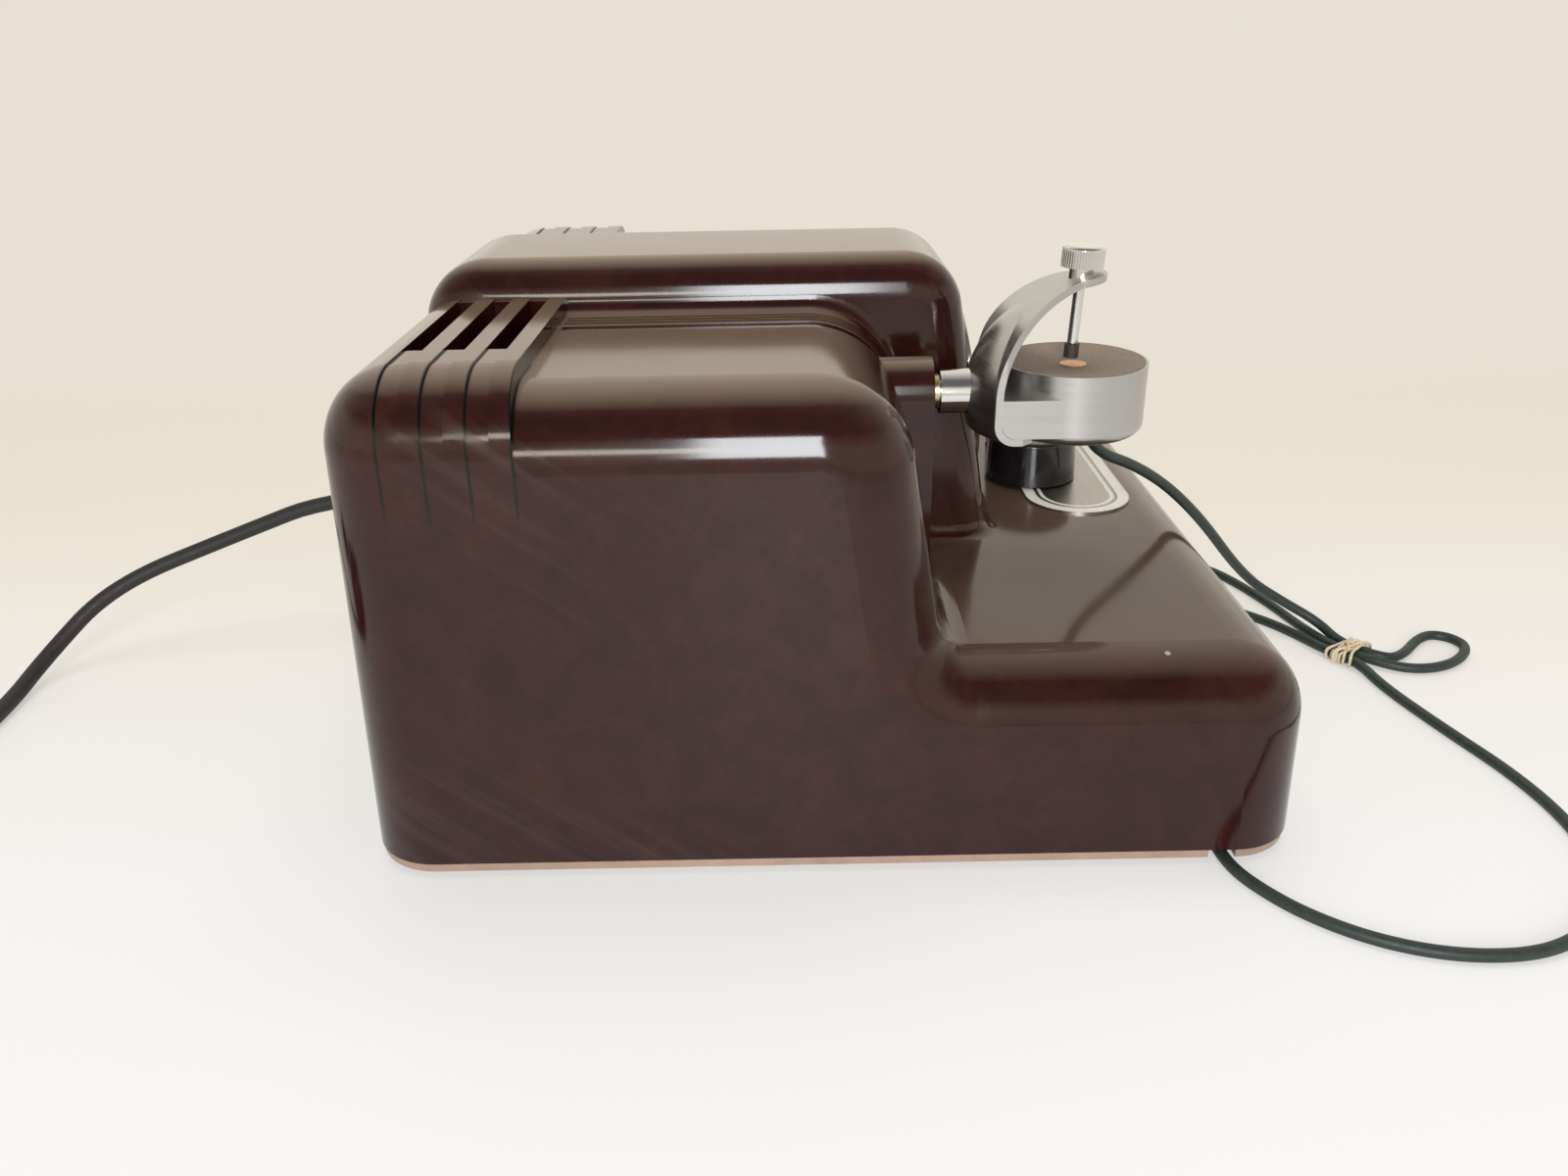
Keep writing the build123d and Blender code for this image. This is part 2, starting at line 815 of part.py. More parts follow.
with BuildPart() as microphone_cover:
    with BuildSketch(Plane.XY.offset(housing_bottom_z)):
        with Locations((holder_x, housing_y)):
            Circle(cover_radius)
        with Locations(*cover_screw_points):
            Circle(small_screw / 2, mode=Mode.SUBTRACT)
    extrude(amount=cover_gauge)
save(microphone_cover.part, "microphone_cover")

cover_screws = turned(
    Plane.XY,
    (
        (housing_bottom_z - small_head_height, housing_bottom_z, small_head),
        (housing_bottom_z, housing_bottom_z + cover_gauge, small_screw),
    ),
    points=cover_screw_points,
)
save(cover_screws, "cover_screws")

lug_screws = turned(
    Plane.XY,
    (
        (lug_bottom_z - plate_thickness - small_head_height, lug_bottom_z - plate_thickness, small_head),
        (lug_bottom_z - plate_thickness, lug_bottom_z + small_screw_depth, small_screw),
    ),
    points=lug_screw_points,
)
save(lug_screws, "lug_screws")

with BuildPart() as pickup_crystal:
    with Locations((holder_x, housing_y, cavity_top_z - crystal_size[2] / 2)):
        Box(*crystal_size)
save(pickup_crystal.part, "pickup_crystal")

# Boot round the microphone lead, under the cover
with BuildPart() as lead_boot:
    with BuildSketch(Plane.XY.offset(housing_bottom_z)):
        with Locations(boot_point):
            Circle(boot_top / 2)
    with BuildSketch(Plane.XY.offset(boot_bottom_z)):
        with Locations(boot_point):
            Circle(boot_foot / 2)
    loft()
    with BuildSketch(Plane.XY.offset(housing_bottom_z)):
        with Locations(boot_point):
            Circle(lead_diameter / 2)
    extrude(amount=boot_bottom_z - housing_bottom_z, mode=Mode.SUBTRACT)
save(lead_boot.part, "lead_boot")

# Clamp screw, its neck, knob and tip
screw_neck = turned(
    screw_plane,
    ((neck_bottom, neck_top, neck_diameter),),
    ((neck_bottom, neck_top, screw_diameter + 2 * running_gap),),
)
save(screw_neck, "screw_neck")

tip_top = tip_gap + tip_length
clamp_screw = turned(
    screw_plane,
    (
        (tip_top - spigot_length, tip_top + end_gap, spigot_diameter),
        (tip_top + end_gap, knob_bottom + clamp_knob_bore, screw_diameter),
    ),
)
save(clamp_screw, "clamp_screw")

with BuildPart() as clamp_knob:
    with BuildSketch(screw_plane.offset(knob_bottom)):
        Circle(clamp_knob_diameter / 2)
    extrude(amount=clamp_knob_height)
    fillet(clamp_knob.edges().group_by(Axis.Z)[-1], clamp_knob_round)
    with BuildSketch(screw_plane.offset(knob_bottom)):
        with PolarLocations(clamp_knob_diameter / 2 + knurl_offset, knurl_count):
            Circle(knurl_diameter / 2)
    extrude(amount=clamp_knob_height, mode=Mode.SUBTRACT)
    with BuildSketch(screw_plane.offset(knob_bottom)):
        Circle(screw_diameter / 2)
    extrude(amount=clamp_knob_bore, mode=Mode.SUBTRACT)
save(clamp_knob.part, "clamp_knob")

presser_tip = turned(
    screw_plane,
    ((tip_gap, tip_top, tip_diameter),),
    ((tip_top - spigot_length - end_gap, tip_top, spigot_diameter + 2 * running_gap),),
)
save(presser_tip, "presser_tip")

# Legend plate and the two controls
plate_top_z = ledge_z + plate_gauge
with BuildPart() as legend_plate:
    with BuildSketch(Plane.XY.offset(ledge_z)):
        with Locations((sum(plate_xs) / 2, plate_y)):
            SlotCenterToCenter(plate_xs[1] - plate_xs[0], 2 * plate_radius)
        with Locations(*control_points):
            Circle(control_bush_diameter / 2, mode=Mode.SUBTRACT)
    extrude(amount=plate_gauge)
save(legend_plate.part, "legend_plate")

with BuildPart() as control_nuts:
    with BuildSketch(Plane.XY.offset(plate_top_z)):
        with Locations(*control_points):
            RegularPolygon(control_nut_size / 2, 6, major_radius=False)
            Circle(control_bush_diameter / 2, mode=Mode.SUBTRACT)
    extrude(amount=control_nut_height)
save(control_nuts.part, "control_nuts")

ledge_under_z = ledge_z - wall
nut_top_z = plate_top_z + control_nut_height
control_steps = (
    (ledge_under_z - control_body_height, ledge_under_z, control_body_diameter),
    (ledge_under_z, nut_top_z, control_bush_diameter),
)
control_bores = ((ledge_under_z - shaft_depth, nut_top_z, control_shaft_diameter + 2 * running_gap),)
for (control_x, control_y), name in zip(control_points, ("gain", "rate")):
    control_plane = Plane((control_x, control_y, 0))
    save(turned(control_plane, control_steps, control_bores), f"{name}_control")
    shaft_step = (ledge_under_z - shaft_depth + end_gap, plate_top_z + knob_bore, control_shaft_diameter)
    save(turned(control_plane, (shaft_step,)), f"{name}_shaft")
    with BuildPart() as knob:
        with BuildSketch(control_plane.offset(plate_top_z + knob_gap)):
            Circle(knob_diameter / 2)
        extrude(amount=knob_height, taper=knob_taper)
        fillet(knob.edges().group_by(Axis.Z)[-1], knob_round)
        with BuildSketch(control_plane.offset(plate_top_z)):
            Circle(knob_recess / 2)
        extrude(amount=control_nut_height + 2 * knob_gap, mode=Mode.SUBTRACT)
        with BuildSketch(control_plane.offset(plate_top_z)):
            Circle(control_shaft_diameter / 2)
        extrude(amount=knob_bore, mode=Mode.SUBTRACT)
        with Locations((control_x, control_y - knob_diameter / 2, plate_top_z + knob_height)):
            Box(knob_mark_width, knob_diameter, knob_mark_depth, mode=Mode.SUBTRACT)
    save(knob.part, f"{name}_knob")

# Window: bezel, glass, dial ring, indicator disc and motor
window_bezel = turned(
    window_plane,
    ((-bezel_depth, 0, window_hole), (0, bezel_gauge, bezel_flange)),
    ((-bezel_depth, 0, glass_diameter), (0, bezel_gauge, bezel_lip)),
)
save(window_bezel, "window_bezel")
save(turned(window_plane, ((-glass_gauge, 0, glass_diameter),)), "window_glass")
dial_back = -glass_gauge - dial_gauge
dial_ring = turned(
    window_plane,
    ((dial_back, -glass_gauge, glass_diameter),),
    ((dial_back, -glass_gauge, dial_opening),),
)
save(dial_ring, "dial_ring")

disc_front = dial_back - disc_gap
with BuildPart() as indicator_disc:
    with BuildSketch(window_plane.offset(disc_front - disc_gauge)):
        Circle(disc_diameter / 2)
    extrude(amount=disc_gauge)
    with BuildSketch(window_plane.offset(disc_front - disc_gauge)):
        Circle(hub_diameter / 2)
    extrude(amount=-hub_length)
    with BuildSketch(window_plane.offset(disc_front)):
        Circle(motor_shaft_diameter / 2)
        with PolarLocations(disc_mark_radius, disc_mark_count):
            Rectangle(disc_mark_length, disc_mark_width)
    extrude(amount=-hub_length - disc_gauge, mode=Mode.SUBTRACT)
save(indicator_disc.part, "indicator_disc")

motor_shaft = turned(window_plane, ((motor_front - shaft_in_motor, disc_front, motor_shaft_diameter),))
save(motor_shaft, "motor_shaft")

motor_body = turned(
    window_plane,
    ((motor_back, motor_front, motor_diameter), (motor_front, motor_front + motor_nose, 2 * hub_diameter)),
    (
        (
            motor_front - shaft_in_motor - end_gap,
            motor_front + motor_nose,
            motor_shaft_diameter + 2 * running_gap,
        ),
    ),
)
save(motor_body, "motor_body")

# Bracket that holds the motor and the lamp on the chassis
with BuildPart() as motor_bracket:
    with BuildSketch(window_plane.offset(motor_back)):
        with Locations((0, lamp_rise / 2 - window_z / 2)):
            Rectangle(bracket_width, window_z + lamp_rise + bracket_margin)
    extrude(amount=-bracket_gauge)
    split(bisect_by=Plane.XY.offset(chassis_z), keep=Keep.TOP)
    with Locations((0, bracket_foot_y, chassis_z + bracket_gauge / 2)):
        Box(bracket_width, bracket_foot, bracket_gauge)
save(motor_bracket.part, "motor_bracket")

save(
    turned(window_plane, ((motor_back, lamp_back, lamp_holder_diameter),), points=((0, lamp_rise),)),
    "neon_holder",
)
with BuildPart() as neon_lamp:
    with BuildSketch(window_plane.offset(lamp_back)):
        with Locations((0, lamp_rise)):
            Circle(lamp_diameter / 2)
    extrude(amount=lamp_length)
    fillet(neon_lamp.edges().group_by(Axis.Y)[0], lamp_diameter / 2 - end_gap)
save(neon_lamp.part, "neon_lamp")

# Chassis with folded front and back, on four posts
chassis_depth = chassis_back_y - chassis_front_y
with BuildPart() as chassis:
    with BuildSketch(Plane.XY.offset(chassis_z - chassis_gauge)):
        with Locations((0, (chassis_front_y + chassis_back_y) / 2)):
            Rectangle(2 * chassis_half_x, chassis_depth)
        with Locations(*post_points):
            Circle(screw_shank / 2, mode=Mode.SUBTRACT)
    extrude(amount=chassis_gauge)
    for edge_y in (chassis_front_y + chassis_gauge / 2, chassis_back_y - chassis_gauge / 2):
        with Locations((0, edge_y, chassis_z - chassis_flange / 2)):
            Box(2 * chassis_half_x, chassis_gauge, chassis_flange)
save(chassis.part, "chassis")

post_top = chassis_z - chassis_gauge
chassis_posts = turned(
    Plane.XY,
    ((rim_z, post_top, post_diameter),),
    ((post_top - post_thread, post_top, screw_shank),),
    points=post_points,
)
save(chassis_posts, "chassis_posts")

chassis_screws = turned(
    Plane.XY,
    (
        (post_top - post_thread, chassis_z, screw_shank),
        (chassis_z, chassis_z + screw_head_height, screw_head),
    ),
    points=post_points,
)
save(chassis_screws, "chassis_screws")

# Transformer: laminated core, winding and clamp
limb = core_size[0] / 6
window_height = core_size[2] - 2 * limb
core_mid_z = chassis_z + core_size[2] / 2
with BuildPart() as transformer_core:
    with Locations((transformer_x, transformer_y, core_mid_z)):
        Box(*core_size)
    with Locations(*[(transformer_x + side * 1.5 * limb, transformer_y, core_mid_z) for side in (-1, 1)]):
        Box(limb, core_size[1], window_height, mode=Mode.SUBTRACT)
save(transformer_core.part, "transformer_core")

with BuildPart() as transformer_winding:
    with Locations((transformer_x, transformer_y, core_mid_z)):
        Box(4 * limb - 2 * end_gap, core_size[1] + 2 * limb, window_height - 2 * end_gap)
    fillet(transformer_winding.edges().filter_by(Axis.Z), limb / 2)
    with Locations((transformer_x, transformer_y, core_mid_z)):
        Box(2 * limb, core_size[1], window_height, mode=Mode.SUBTRACT)
save(transformer_winding.part, "transformer_winding")

core_top_z = chassis_z + core_size[2]
strap_half = core_size[0] / 2
with BuildPart() as transformer_clamp:
    with BuildSketch(Plane.XZ.offset(-transformer_y)):
        with BuildLine():
            Polyline(
                (transformer_x - strap_half - strap_foot, chassis_z),
                (transformer_x - strap_half, chassis_z),
                (transformer_x - strap_half, core_top_z),
                (transformer_x + strap_half, core_top_z),
                (transformer_x + strap_half, chassis_z),
                (transformer_x + strap_half + strap_foot, chassis_z),
                (transformer_x + strap_half + strap_foot, chassis_z + strap_gauge),
                (transformer_x + strap_half + strap_gauge, chassis_z + strap_gauge),
                (transformer_x + strap_half + strap_gauge, core_top_z + strap_gauge),
                (transformer_x - strap_half - strap_gauge, core_top_z + strap_gauge),
                (transformer_x - strap_half - strap_gauge, chassis_z + strap_gauge),
                (transformer_x - strap_half - strap_foot, chassis_z + strap_gauge),
                close=True,
            )
        make_face()
    extrude(amount=strap_width / 2, both=True)
save(transformer_clamp.part, "transformer_clamp")

strap_reach = strap_half + (strap_foot + strap_gauge) / 2
strap_points = [(transformer_x + side * strap_reach, transformer_y) for side in (-1, 1)]
transformer_screws = turned(
    Plane.XY,
    ((chassis_z + strap_gauge, chassis_z + strap_gauge + screw_head_height, screw_head),),
    points=strap_points,
)
save(transformer_screws, "transformer_screws")

filter_capacitor = turned(Plane((can_x, can_y, 0)), ((chassis_z, chassis_z + can_height, can_diameter),))
save(filter_capacitor, "filter_capacitor")

# Valves: sockets, bases and glass
base_bottom = chassis_z + socket_height
glass_bottom = base_bottom + valve_base_height
save(turned(Plane.XY, ((chassis_z, base_bottom, socket_diameter),), points=valve_points), "valve_sockets")
save(turned(Plane.XY, ((base_bottom, glass_bottom, valve_base),), points=valve_points), "valve_bases")
with BuildPart() as valve_envelopes:
    with BuildSketch(Plane.XY.offset(glass_bottom)):
        with Locations(*valve_points):
            Circle(valve_glass / 2)
    extrude(amount=valve_glass_height)
    fillet(valve_envelopes.edges().group_by(Axis.Z)[-1], valve_glass / 2 - end_gap)
save(valve_envelopes.part, "valve_envelopes")

# Mains lead: strain relief, free stretch, tied coil and plug
with BuildPart() as mains_strain_relief:
    with BuildSketch(relief_plane):
        Circle(relief_neck / 2)
    extrude(amount=-relief_inside)
    with BuildSketch(relief_plane):
        Circle(relief_flange / 2)
    extrude(amount=relief_flange_gauge)
    with BuildSketch(relief_plane.offset(relief_flange_gauge)):
        Circle(relief_root / 2)
    with BuildSketch(relief_plane.offset(relief_length)):
        Circle(relief_end / 2)
    loft()
    with BuildSketch(relief_plane.offset(-relief_inside)):
        Circle(mains_diameter / 2)
    extrude(amount=relief_inside + relief_length, mode=Mode.SUBTRACT)
save(mains_strain_relief.part, "mains_strain_relief")

coil_step = (mains_diameter + coil_gap) / 2
coil_layer = mains_diameter + coil_gap
coil_z = mains_diameter / 2 + tie_gauge + tie_gap + table_gap
radii_out = [coil_inner_radius + coil_step * k for k in range(coil_half_turns)]
climb_radius = coil_inner_radius - coil_step
coil_radii = radii_out[::-1] + [climb_radius] + radii_out
coil_start_y = coil_y - radii_out[-1]
cord(
    (
        (mains_exit_x, relief_y - relief_inside, mains_exit_z),
        (mains_exit_x, mains_turn_y, mains_exit_z),
        *mains_route,
        (coil_x + coil_run_in, coil_start_y, coil_z),
        (coil_x, coil_start_y, coil_z),
    ),
    mains_diameter,
    "mains_lead",
)

with BuildPart() as mains_coil:
    with BuildLine() as coil_line:
        turn_y = coil_start_y
        for index, radius in enumerate(coil_radii):
            side = 1 if index % 2 == 0 else -1
            level = coil_z if index <= coil_half_turns else coil_z + coil_layer
            begin = Vector(coil_x, turn_y, level)
            turn_y += 2 * side * radius
            if index == coil_half_turns:
                halfway = begin + Vector(-side * radius, side * radius, coil_layer / 2)
                climbing = Vector(0, side * pi * radius, 1.5 * coil_layer).normalized()
                finish = Vector(coil_x, turn_y, level + coil_layer)
                biarc(begin, Vector(-side, 0, 0), halfway, climbing)
                biarc(halfway, climbing, finish, Vector(side, 0, 0))
            else:
                halfway = begin + Vector(-side * radius, side * radius, 0)
                ThreePointArc(begin, halfway, (coil_x, turn_y, level))
        Line((coil_x, turn_y, coil_z + coil_layer), (coil_x + tail_length, turn_y, coil_z + coil_layer))
    coil_path = coil_line.wire()
    with BuildSketch(Plane(origin=coil_path @ 0, z_dir=coil_path % 0)):
        Circle(mains_diameter / 2)
    sweep(path=coil_path)
save(mains_coil.part, "mains_coil")
coil_share = mains_coil.part.volume / (pi * mains_diameter**2 / 4 * coil_path.length)
print(f"mains_coil: length {coil_path.length:.1f}, tightest bend {climb_radius:.1f},", end=" ")
print(f"least gap {least_gap(coil_path, mains_diameter):.2f}, volume share {coil_share:.4f}")

coil_near = climb_radius - mains_diameter / 2 - tie_gap
coil_far = radii_out[-1] + mains_diameter / 2 + tie_gap
coil_low = coil_z - mains_diameter / 2 - tie_gap
coil_high = coil_z + coil_layer + mains_diameter / 2 + tie_gap
with BuildPart() as coil_tie:
    with BuildSketch(Plane.XZ.offset(-coil_y)):
        with Locations((coil_x - (coil_near + coil_far) / 2, (coil_low + coil_high) / 2)):
            RectangleRounded(
                coil_far - coil_near + 2 * tie_gauge,
                coil_high - coil_low + 2 * tie_gauge,
                mains_diameter / 2,
            )
            Rectangle(coil_far - coil_near, coil_high - coil_low, mode=Mode.SUBTRACT)
    extrude(amount=tie_width / 2, both=True)
save(coil_tie.part, "coil_tie")

plug_plane = Plane(
    origin=(coil_x + tail_length, turn_y, coil_z + coil_layer),
    x_dir=(0, 1, 0),
    z_dir=(1, 0, 0),
)
with BuildPart() as plug_body:
    with BuildSketch(plug_plane):
        Circle(mains_diameter)
    with BuildSketch(plug_plane.offset(plug_nose)):
        RectangleRounded(plug_diameter, 2 * (coil_z + coil_layer) - plug_gap, mains_diameter)
    loft()
    with BuildSketch(plug_plane.offset(plug_nose)):
        RectangleRounded(plug_diameter, 2 * (coil_z + coil_layer) - plug_gap, mains_diameter)
    extrude(amount=plug_length - plug_nose)
save(plug_body.part, "plug_body")

plug_pins = turned(
    plug_plane,
    ((plug_length, plug_length + plug_pin_length, plug_pin),),
    points=((-plug_pin_pitch / 2, 0), (plug_pin_pitch / 2, 0)),
)
save(plug_pins, "plug_pins")

# Microphone lead: from the boot over the ledge to the tie, then loops and the way back to the base
heading = Vector(*tie_heading, 0)
across = Vector(-tie_heading[1], tie_heading[0], 0)
tie_z = lead_diameter / 2 + tie_gap + tie_gauge + table_gap
tie_middle = Vector(tie_x, tie_y, tie_z)


# Point on one of the three strands in the tie
def strand(number, along):
    return tuple(tie_middle + across * (number * pass_pitch) + heading * along)


cord(
    (
        (*boot_point, housing_bottom_z),
        (*boot_point, boot_turn_z),
        *drop_route,
        strand(1, -pass_half),
        strand(1, 0),
    ),
    lead_diameter,
    "microphone_lead",
)
cord(
    (
        strand(1, 0),
        strand(1, pass_half),
        *[(x, y, lead_z) for x, y in small_loop],
        strand(0, pass_half),
        strand(0, -pass_half),
        *[(x, y, lead_z) for x, y in large_loop],
        strand(-1, -pass_half),
        strand(-1, pass_half),
        *[(x, y, lead_z) for x, y in way_back],
        (entry_x, entry_y, entry_z),
        (notch_depth - grommet_length - case_width / 2, entry_y, entry_z),
    ),
    lead_diameter,
    "table_lead",
)

with BuildPart() as lead_tie:
    with BuildSketch(Plane(origin=tie_middle - heading * (tie_width / 2), x_dir=across, z_dir=heading)):
        SlotCenterToCenter(2 * pass_pitch, lead_diameter + 2 * (tie_gap + tie_gauge))
        SlotCenterToCenter(2 * pass_pitch, lead_diameter + 2 * tie_gap, mode=Mode.SUBTRACT)
    extrude(amount=tie_width)
save(lead_tie.part, "lead_tie")
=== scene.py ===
# Bench machine for timing watches: camera, light, cords, finishes and fine pieces
import json
from math import cos, pi, radians, sin

import bmesh
import bpy
from mathutils import Matrix, Vector


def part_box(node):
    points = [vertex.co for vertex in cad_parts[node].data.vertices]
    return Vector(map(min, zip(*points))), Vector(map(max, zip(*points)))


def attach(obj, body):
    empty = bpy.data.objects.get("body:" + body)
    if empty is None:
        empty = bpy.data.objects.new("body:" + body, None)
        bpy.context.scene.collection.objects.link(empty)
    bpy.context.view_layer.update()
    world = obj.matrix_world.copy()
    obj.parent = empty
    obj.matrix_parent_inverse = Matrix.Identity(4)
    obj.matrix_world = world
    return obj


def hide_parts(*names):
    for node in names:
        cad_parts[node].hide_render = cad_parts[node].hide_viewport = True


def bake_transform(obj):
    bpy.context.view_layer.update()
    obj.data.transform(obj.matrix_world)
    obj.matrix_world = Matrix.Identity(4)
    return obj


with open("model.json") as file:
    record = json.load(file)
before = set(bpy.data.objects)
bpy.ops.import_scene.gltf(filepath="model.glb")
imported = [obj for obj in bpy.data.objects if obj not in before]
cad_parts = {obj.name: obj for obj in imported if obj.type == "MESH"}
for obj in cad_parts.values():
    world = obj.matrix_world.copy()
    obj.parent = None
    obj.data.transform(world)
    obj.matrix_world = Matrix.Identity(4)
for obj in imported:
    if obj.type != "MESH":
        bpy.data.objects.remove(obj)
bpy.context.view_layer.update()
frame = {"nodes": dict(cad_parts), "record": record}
nodes = frame["nodes"]
MM = 0.001
scene = bpy.context.scene


# Points written in millimetres, in metres
def metres(*points):
    return [Vector(point) * MM for point in points]


def link(obj):
    scene.collection.objects.link(obj)
    return obj


# Camera
CAMERA_PLACE = Vector((-432.4, 13.8, 228.4)) * MM
CAMERA_PITCH = radians(24.94)
CAMERA_ROLL = radians(1.07)
CAMERA_LENS = 27.675
SENSOR_WIDTH = 36.0

camera_data = bpy.data.cameras.new("camera")
camera_data.lens = CAMERA_LENS
camera_data.sensor_width = SENSOR_WIDTH
camera_data.sensor_fit = "HORIZONTAL"
camera_data.clip_start = 0.01
camera_data.clip_end = 40.0
camera = link(bpy.data.objects.new("camera", camera_data))
level_up = Vector((sin(CAMERA_PITCH), 0, cos(CAMERA_PITCH)))
level_right = Vector((0, -1, 0))
camera_right = level_right * cos(CAMERA_ROLL) - level_up * sin(CAMERA_ROLL)
camera_up = level_up * cos(CAMERA_ROLL) + level_right * sin(CAMERA_ROLL)
camera_back = camera_right.cross(camera_up)
turn = Matrix((camera_right, camera_up, camera_back)).transposed()
camera.matrix_world = Matrix.Translation(CAMERA_PLACE) @ turn.to_4x4()
scene.camera = camera
scene.view_settings.view_transform = "Standard"


# Materials: a principled shader, with nodes added to it by name
def finish(name, **values):
    material = bpy.data.materials.new(name)
    material.use_nodes = True
    shader = material.node_tree.nodes["Principled BSDF"]
    for key, value in values.items():
        shader.inputs[key.replace("_", " ").title().replace("Ior", "IOR")].default_value = value
    return material, shader


# One node, whose inputs are values or other nodes' outputs
def node(material, kind, inputs=None, **settings):
    made = material.node_tree.nodes.new(kind)
    for key, value in settings.items():
        setattr(made, key, value)
    for key, value in (inputs or {}).items():
        if isinstance(value, bpy.types.NodeSocket):
            material.node_tree.links.new(value, made.inputs[key])
        else:
            made.inputs[key].default_value = value
    return made


def wire(material, output, socket):
    material.node_tree.links.new(output, socket)


def place(material):
    return node(material, "ShaderNodeTexCoord").outputs["Object"]


def stretched(material, scale, rotation=(0, 0, 0)):
    inputs = {"Vector": place(material), "Rotation": rotation}
    turned_place = node(material, "ShaderNodeMapping", inputs).outputs["Vector"]
    inputs = {"Vector": turned_place, "Scale": scale}
    return node(material, "ShaderNodeMapping", inputs).outputs["Vector"]


def noise(material, scale, detail=3.0, rough=0.5, vector=None, distortion=0.0):
    inputs = {
        "Vector": vector if vector else place(material),
        "Scale": scale,
        "Detail": detail,
        "Roughness": rough,
        "Distortion": distortion,
    }
    return node(material, "ShaderNodeTexNoise", inputs).outputs["Fac"]


def ramp(material, factor, *stops, interpolation="LINEAR"):
    made = node(material, "ShaderNodeValToRGB", {"Fac": factor})
    made.color_ramp.interpolation = interpolation
    elements = made.color_ramp.elements
    while len(elements) < len(stops):
        elements.new(1.0)
    for element, (position, colour) in zip(elements, stops):
        element.position = position
        element.color = (*colour, 1) if len(colour) == 3 else colour
    return made.outputs["Color"]


# A number that runs between two limits with a factor
def span(material, factor, start, end, low=0.0, high=1.0):
    inputs = {"Value": factor, "From Min": low, "From Max": high, "To Min": start, "To Max": end}
    return node(material, "ShaderNodeMapRange", inputs).outputs["Result"]


def math(material, operation, first, second=0.0):
    return node(material, "ShaderNodeMath", {0: first, 1: second}, operation=operation).outputs[0]


def mixed(material, factor, first, second):
    made = node(material, "ShaderNodeMix", data_type="RGBA")
    sockets = [s for s in made.inputs if s.type == "RGBA"]
    for socket, value in zip([made.inputs["Factor"], *sockets], (factor, first, second)):
        if isinstance(value, bpy.types.NodeSocket):
            wire(material, value, socket)
        else:
            socket.default_value = (*value, 1) if isinstance(value, tuple) else value
    return [s for s in made.outputs if s.type == "RGBA"][0]


def bump(material, shader, height, strength, distance):
    inputs = {"Height": height, "Strength": strength, "Distance": distance}
    wire(material, node(material, "ShaderNodeBump", inputs).outputs["Normal"], shader.inputs["Normal"])


# Two colours with grain between them, roughness that follows it and a fine bump
GRAIN_HEIGHT, LINE_HEIGHT = 0.4 * MM, 0.3 * MM


def grained(name, dark, light, scale, rough, depth=0.05, vector_scale=None):
    material, shader = finish(name)
    vector = stretched(material, vector_scale) if vector_scale else None
    grain = noise(material, scale, 5.0, 0.6, vector)
    colour = ramp(material, grain, (0.3, dark), (0.7, light))
    wire(material, colour, shader.inputs["Base Color"])
    wire(material, span(material, grain, *rough, 0.3, 0.7), shader.inputs["Roughness"])
    bump(material, shader, grain, depth, GRAIN_HEIGHT)
    return material


# Painted shade: dark lines in the steps of the louvres, where they come down over the shoulders' edges
LOUVRE_Y, LOUVRE_PITCH, LOUVRE_COUNT = 82.7 * MM, 11.6 * MM, 4
LOUVRE_FROM_X = 103.0 * MM
LOUVRE_FOOT, LOUVRE_FADE = 110.0 * MM, 118.0 * MM
SHADE_LINE_CORE, SHADE_LINE_EDGE = 0.02, 0.055


def louvre_shade_lines(material):
    point = node(material, "ShaderNodeSeparateXYZ", {"Vector": place(material)}).outputs
    steps = math(material, "DIVIDE", math(material, "SUBTRACT", point["Y"], LOUVRE_Y), LOUVRE_PITCH)
    nearest = math(material, "ROUND", steps)
    line = math(material, "ABSOLUTE", math(material, "SUBTRACT", steps, nearest))
    line = span(material, line, 1.0, 0.0, SHADE_LINE_CORE, SHADE_LINE_EDGE)
    line = math(material, "MULTIPLY", line, math(material, "GREATER_THAN", steps, -0.5))
    line = math(material, "MULTIPLY", line, math(material, "LESS_THAN", steps, LOUVRE_COUNT - 0.5))
    beyond = math(material, "GREATER_THAN", math(material, "ABSOLUTE", point["X"]), LOUVRE_FROM_X)
    line = math(material, "MULTIPLY", line, beyond)
    return math(material, "MULTIPLY", line, span(material, point["Z"], 0.0, 1.0, LOUVRE_FOOT, LOUVRE_FADE))


# Polished dark mottled moulding, rubbed and specked on its sides, with more dust and a painted sheen on the
# higher tops
BODY_DARK = (0.0165, 0.0034, 0.0030)
BODY_MIDDLE = (0.0235, 0.0050, 0.0040)
BODY_LIGHT = (0.0340, 0.0080, 0.0056)
HAZE_COLOUR, HAZE_AMOUNT, HAZE_ROUGHNESS = (0.085, 0.058, 0.050), 0.34, 0.2
# Pale colour on the upward faces: dust, and also a painted sheen that grows with height
DUST_AND_SHEEN_COLOUR = (0.165, 0.118, 0.084)
DUST_AND_SHEEN_AMOUNT = (0.38, 0.95)
DUST_AND_SHEEN_HEIGHT = (70.0 * MM, 115.0 * MM)
SPECK_COLOUR, SPECK_AMOUNT = (0.42, 0.38, 0.34), 0.75
SPECK_CELLS, SPECK_SIZE, SPECK_SHARE = 95.0, 0.085, 0.022
# Near-black colour of the painted shade in the louvres' steps
LOUVRE_SHADE_COLOUR = (0.003, 0.003, 0.003)
STREAK_SLOPE, PATCH_SLOPE = radians(-36), radians(-40)
POLISH = (0.085, 0.15)
RIPPLE_HEIGHT = 2.0 * MM


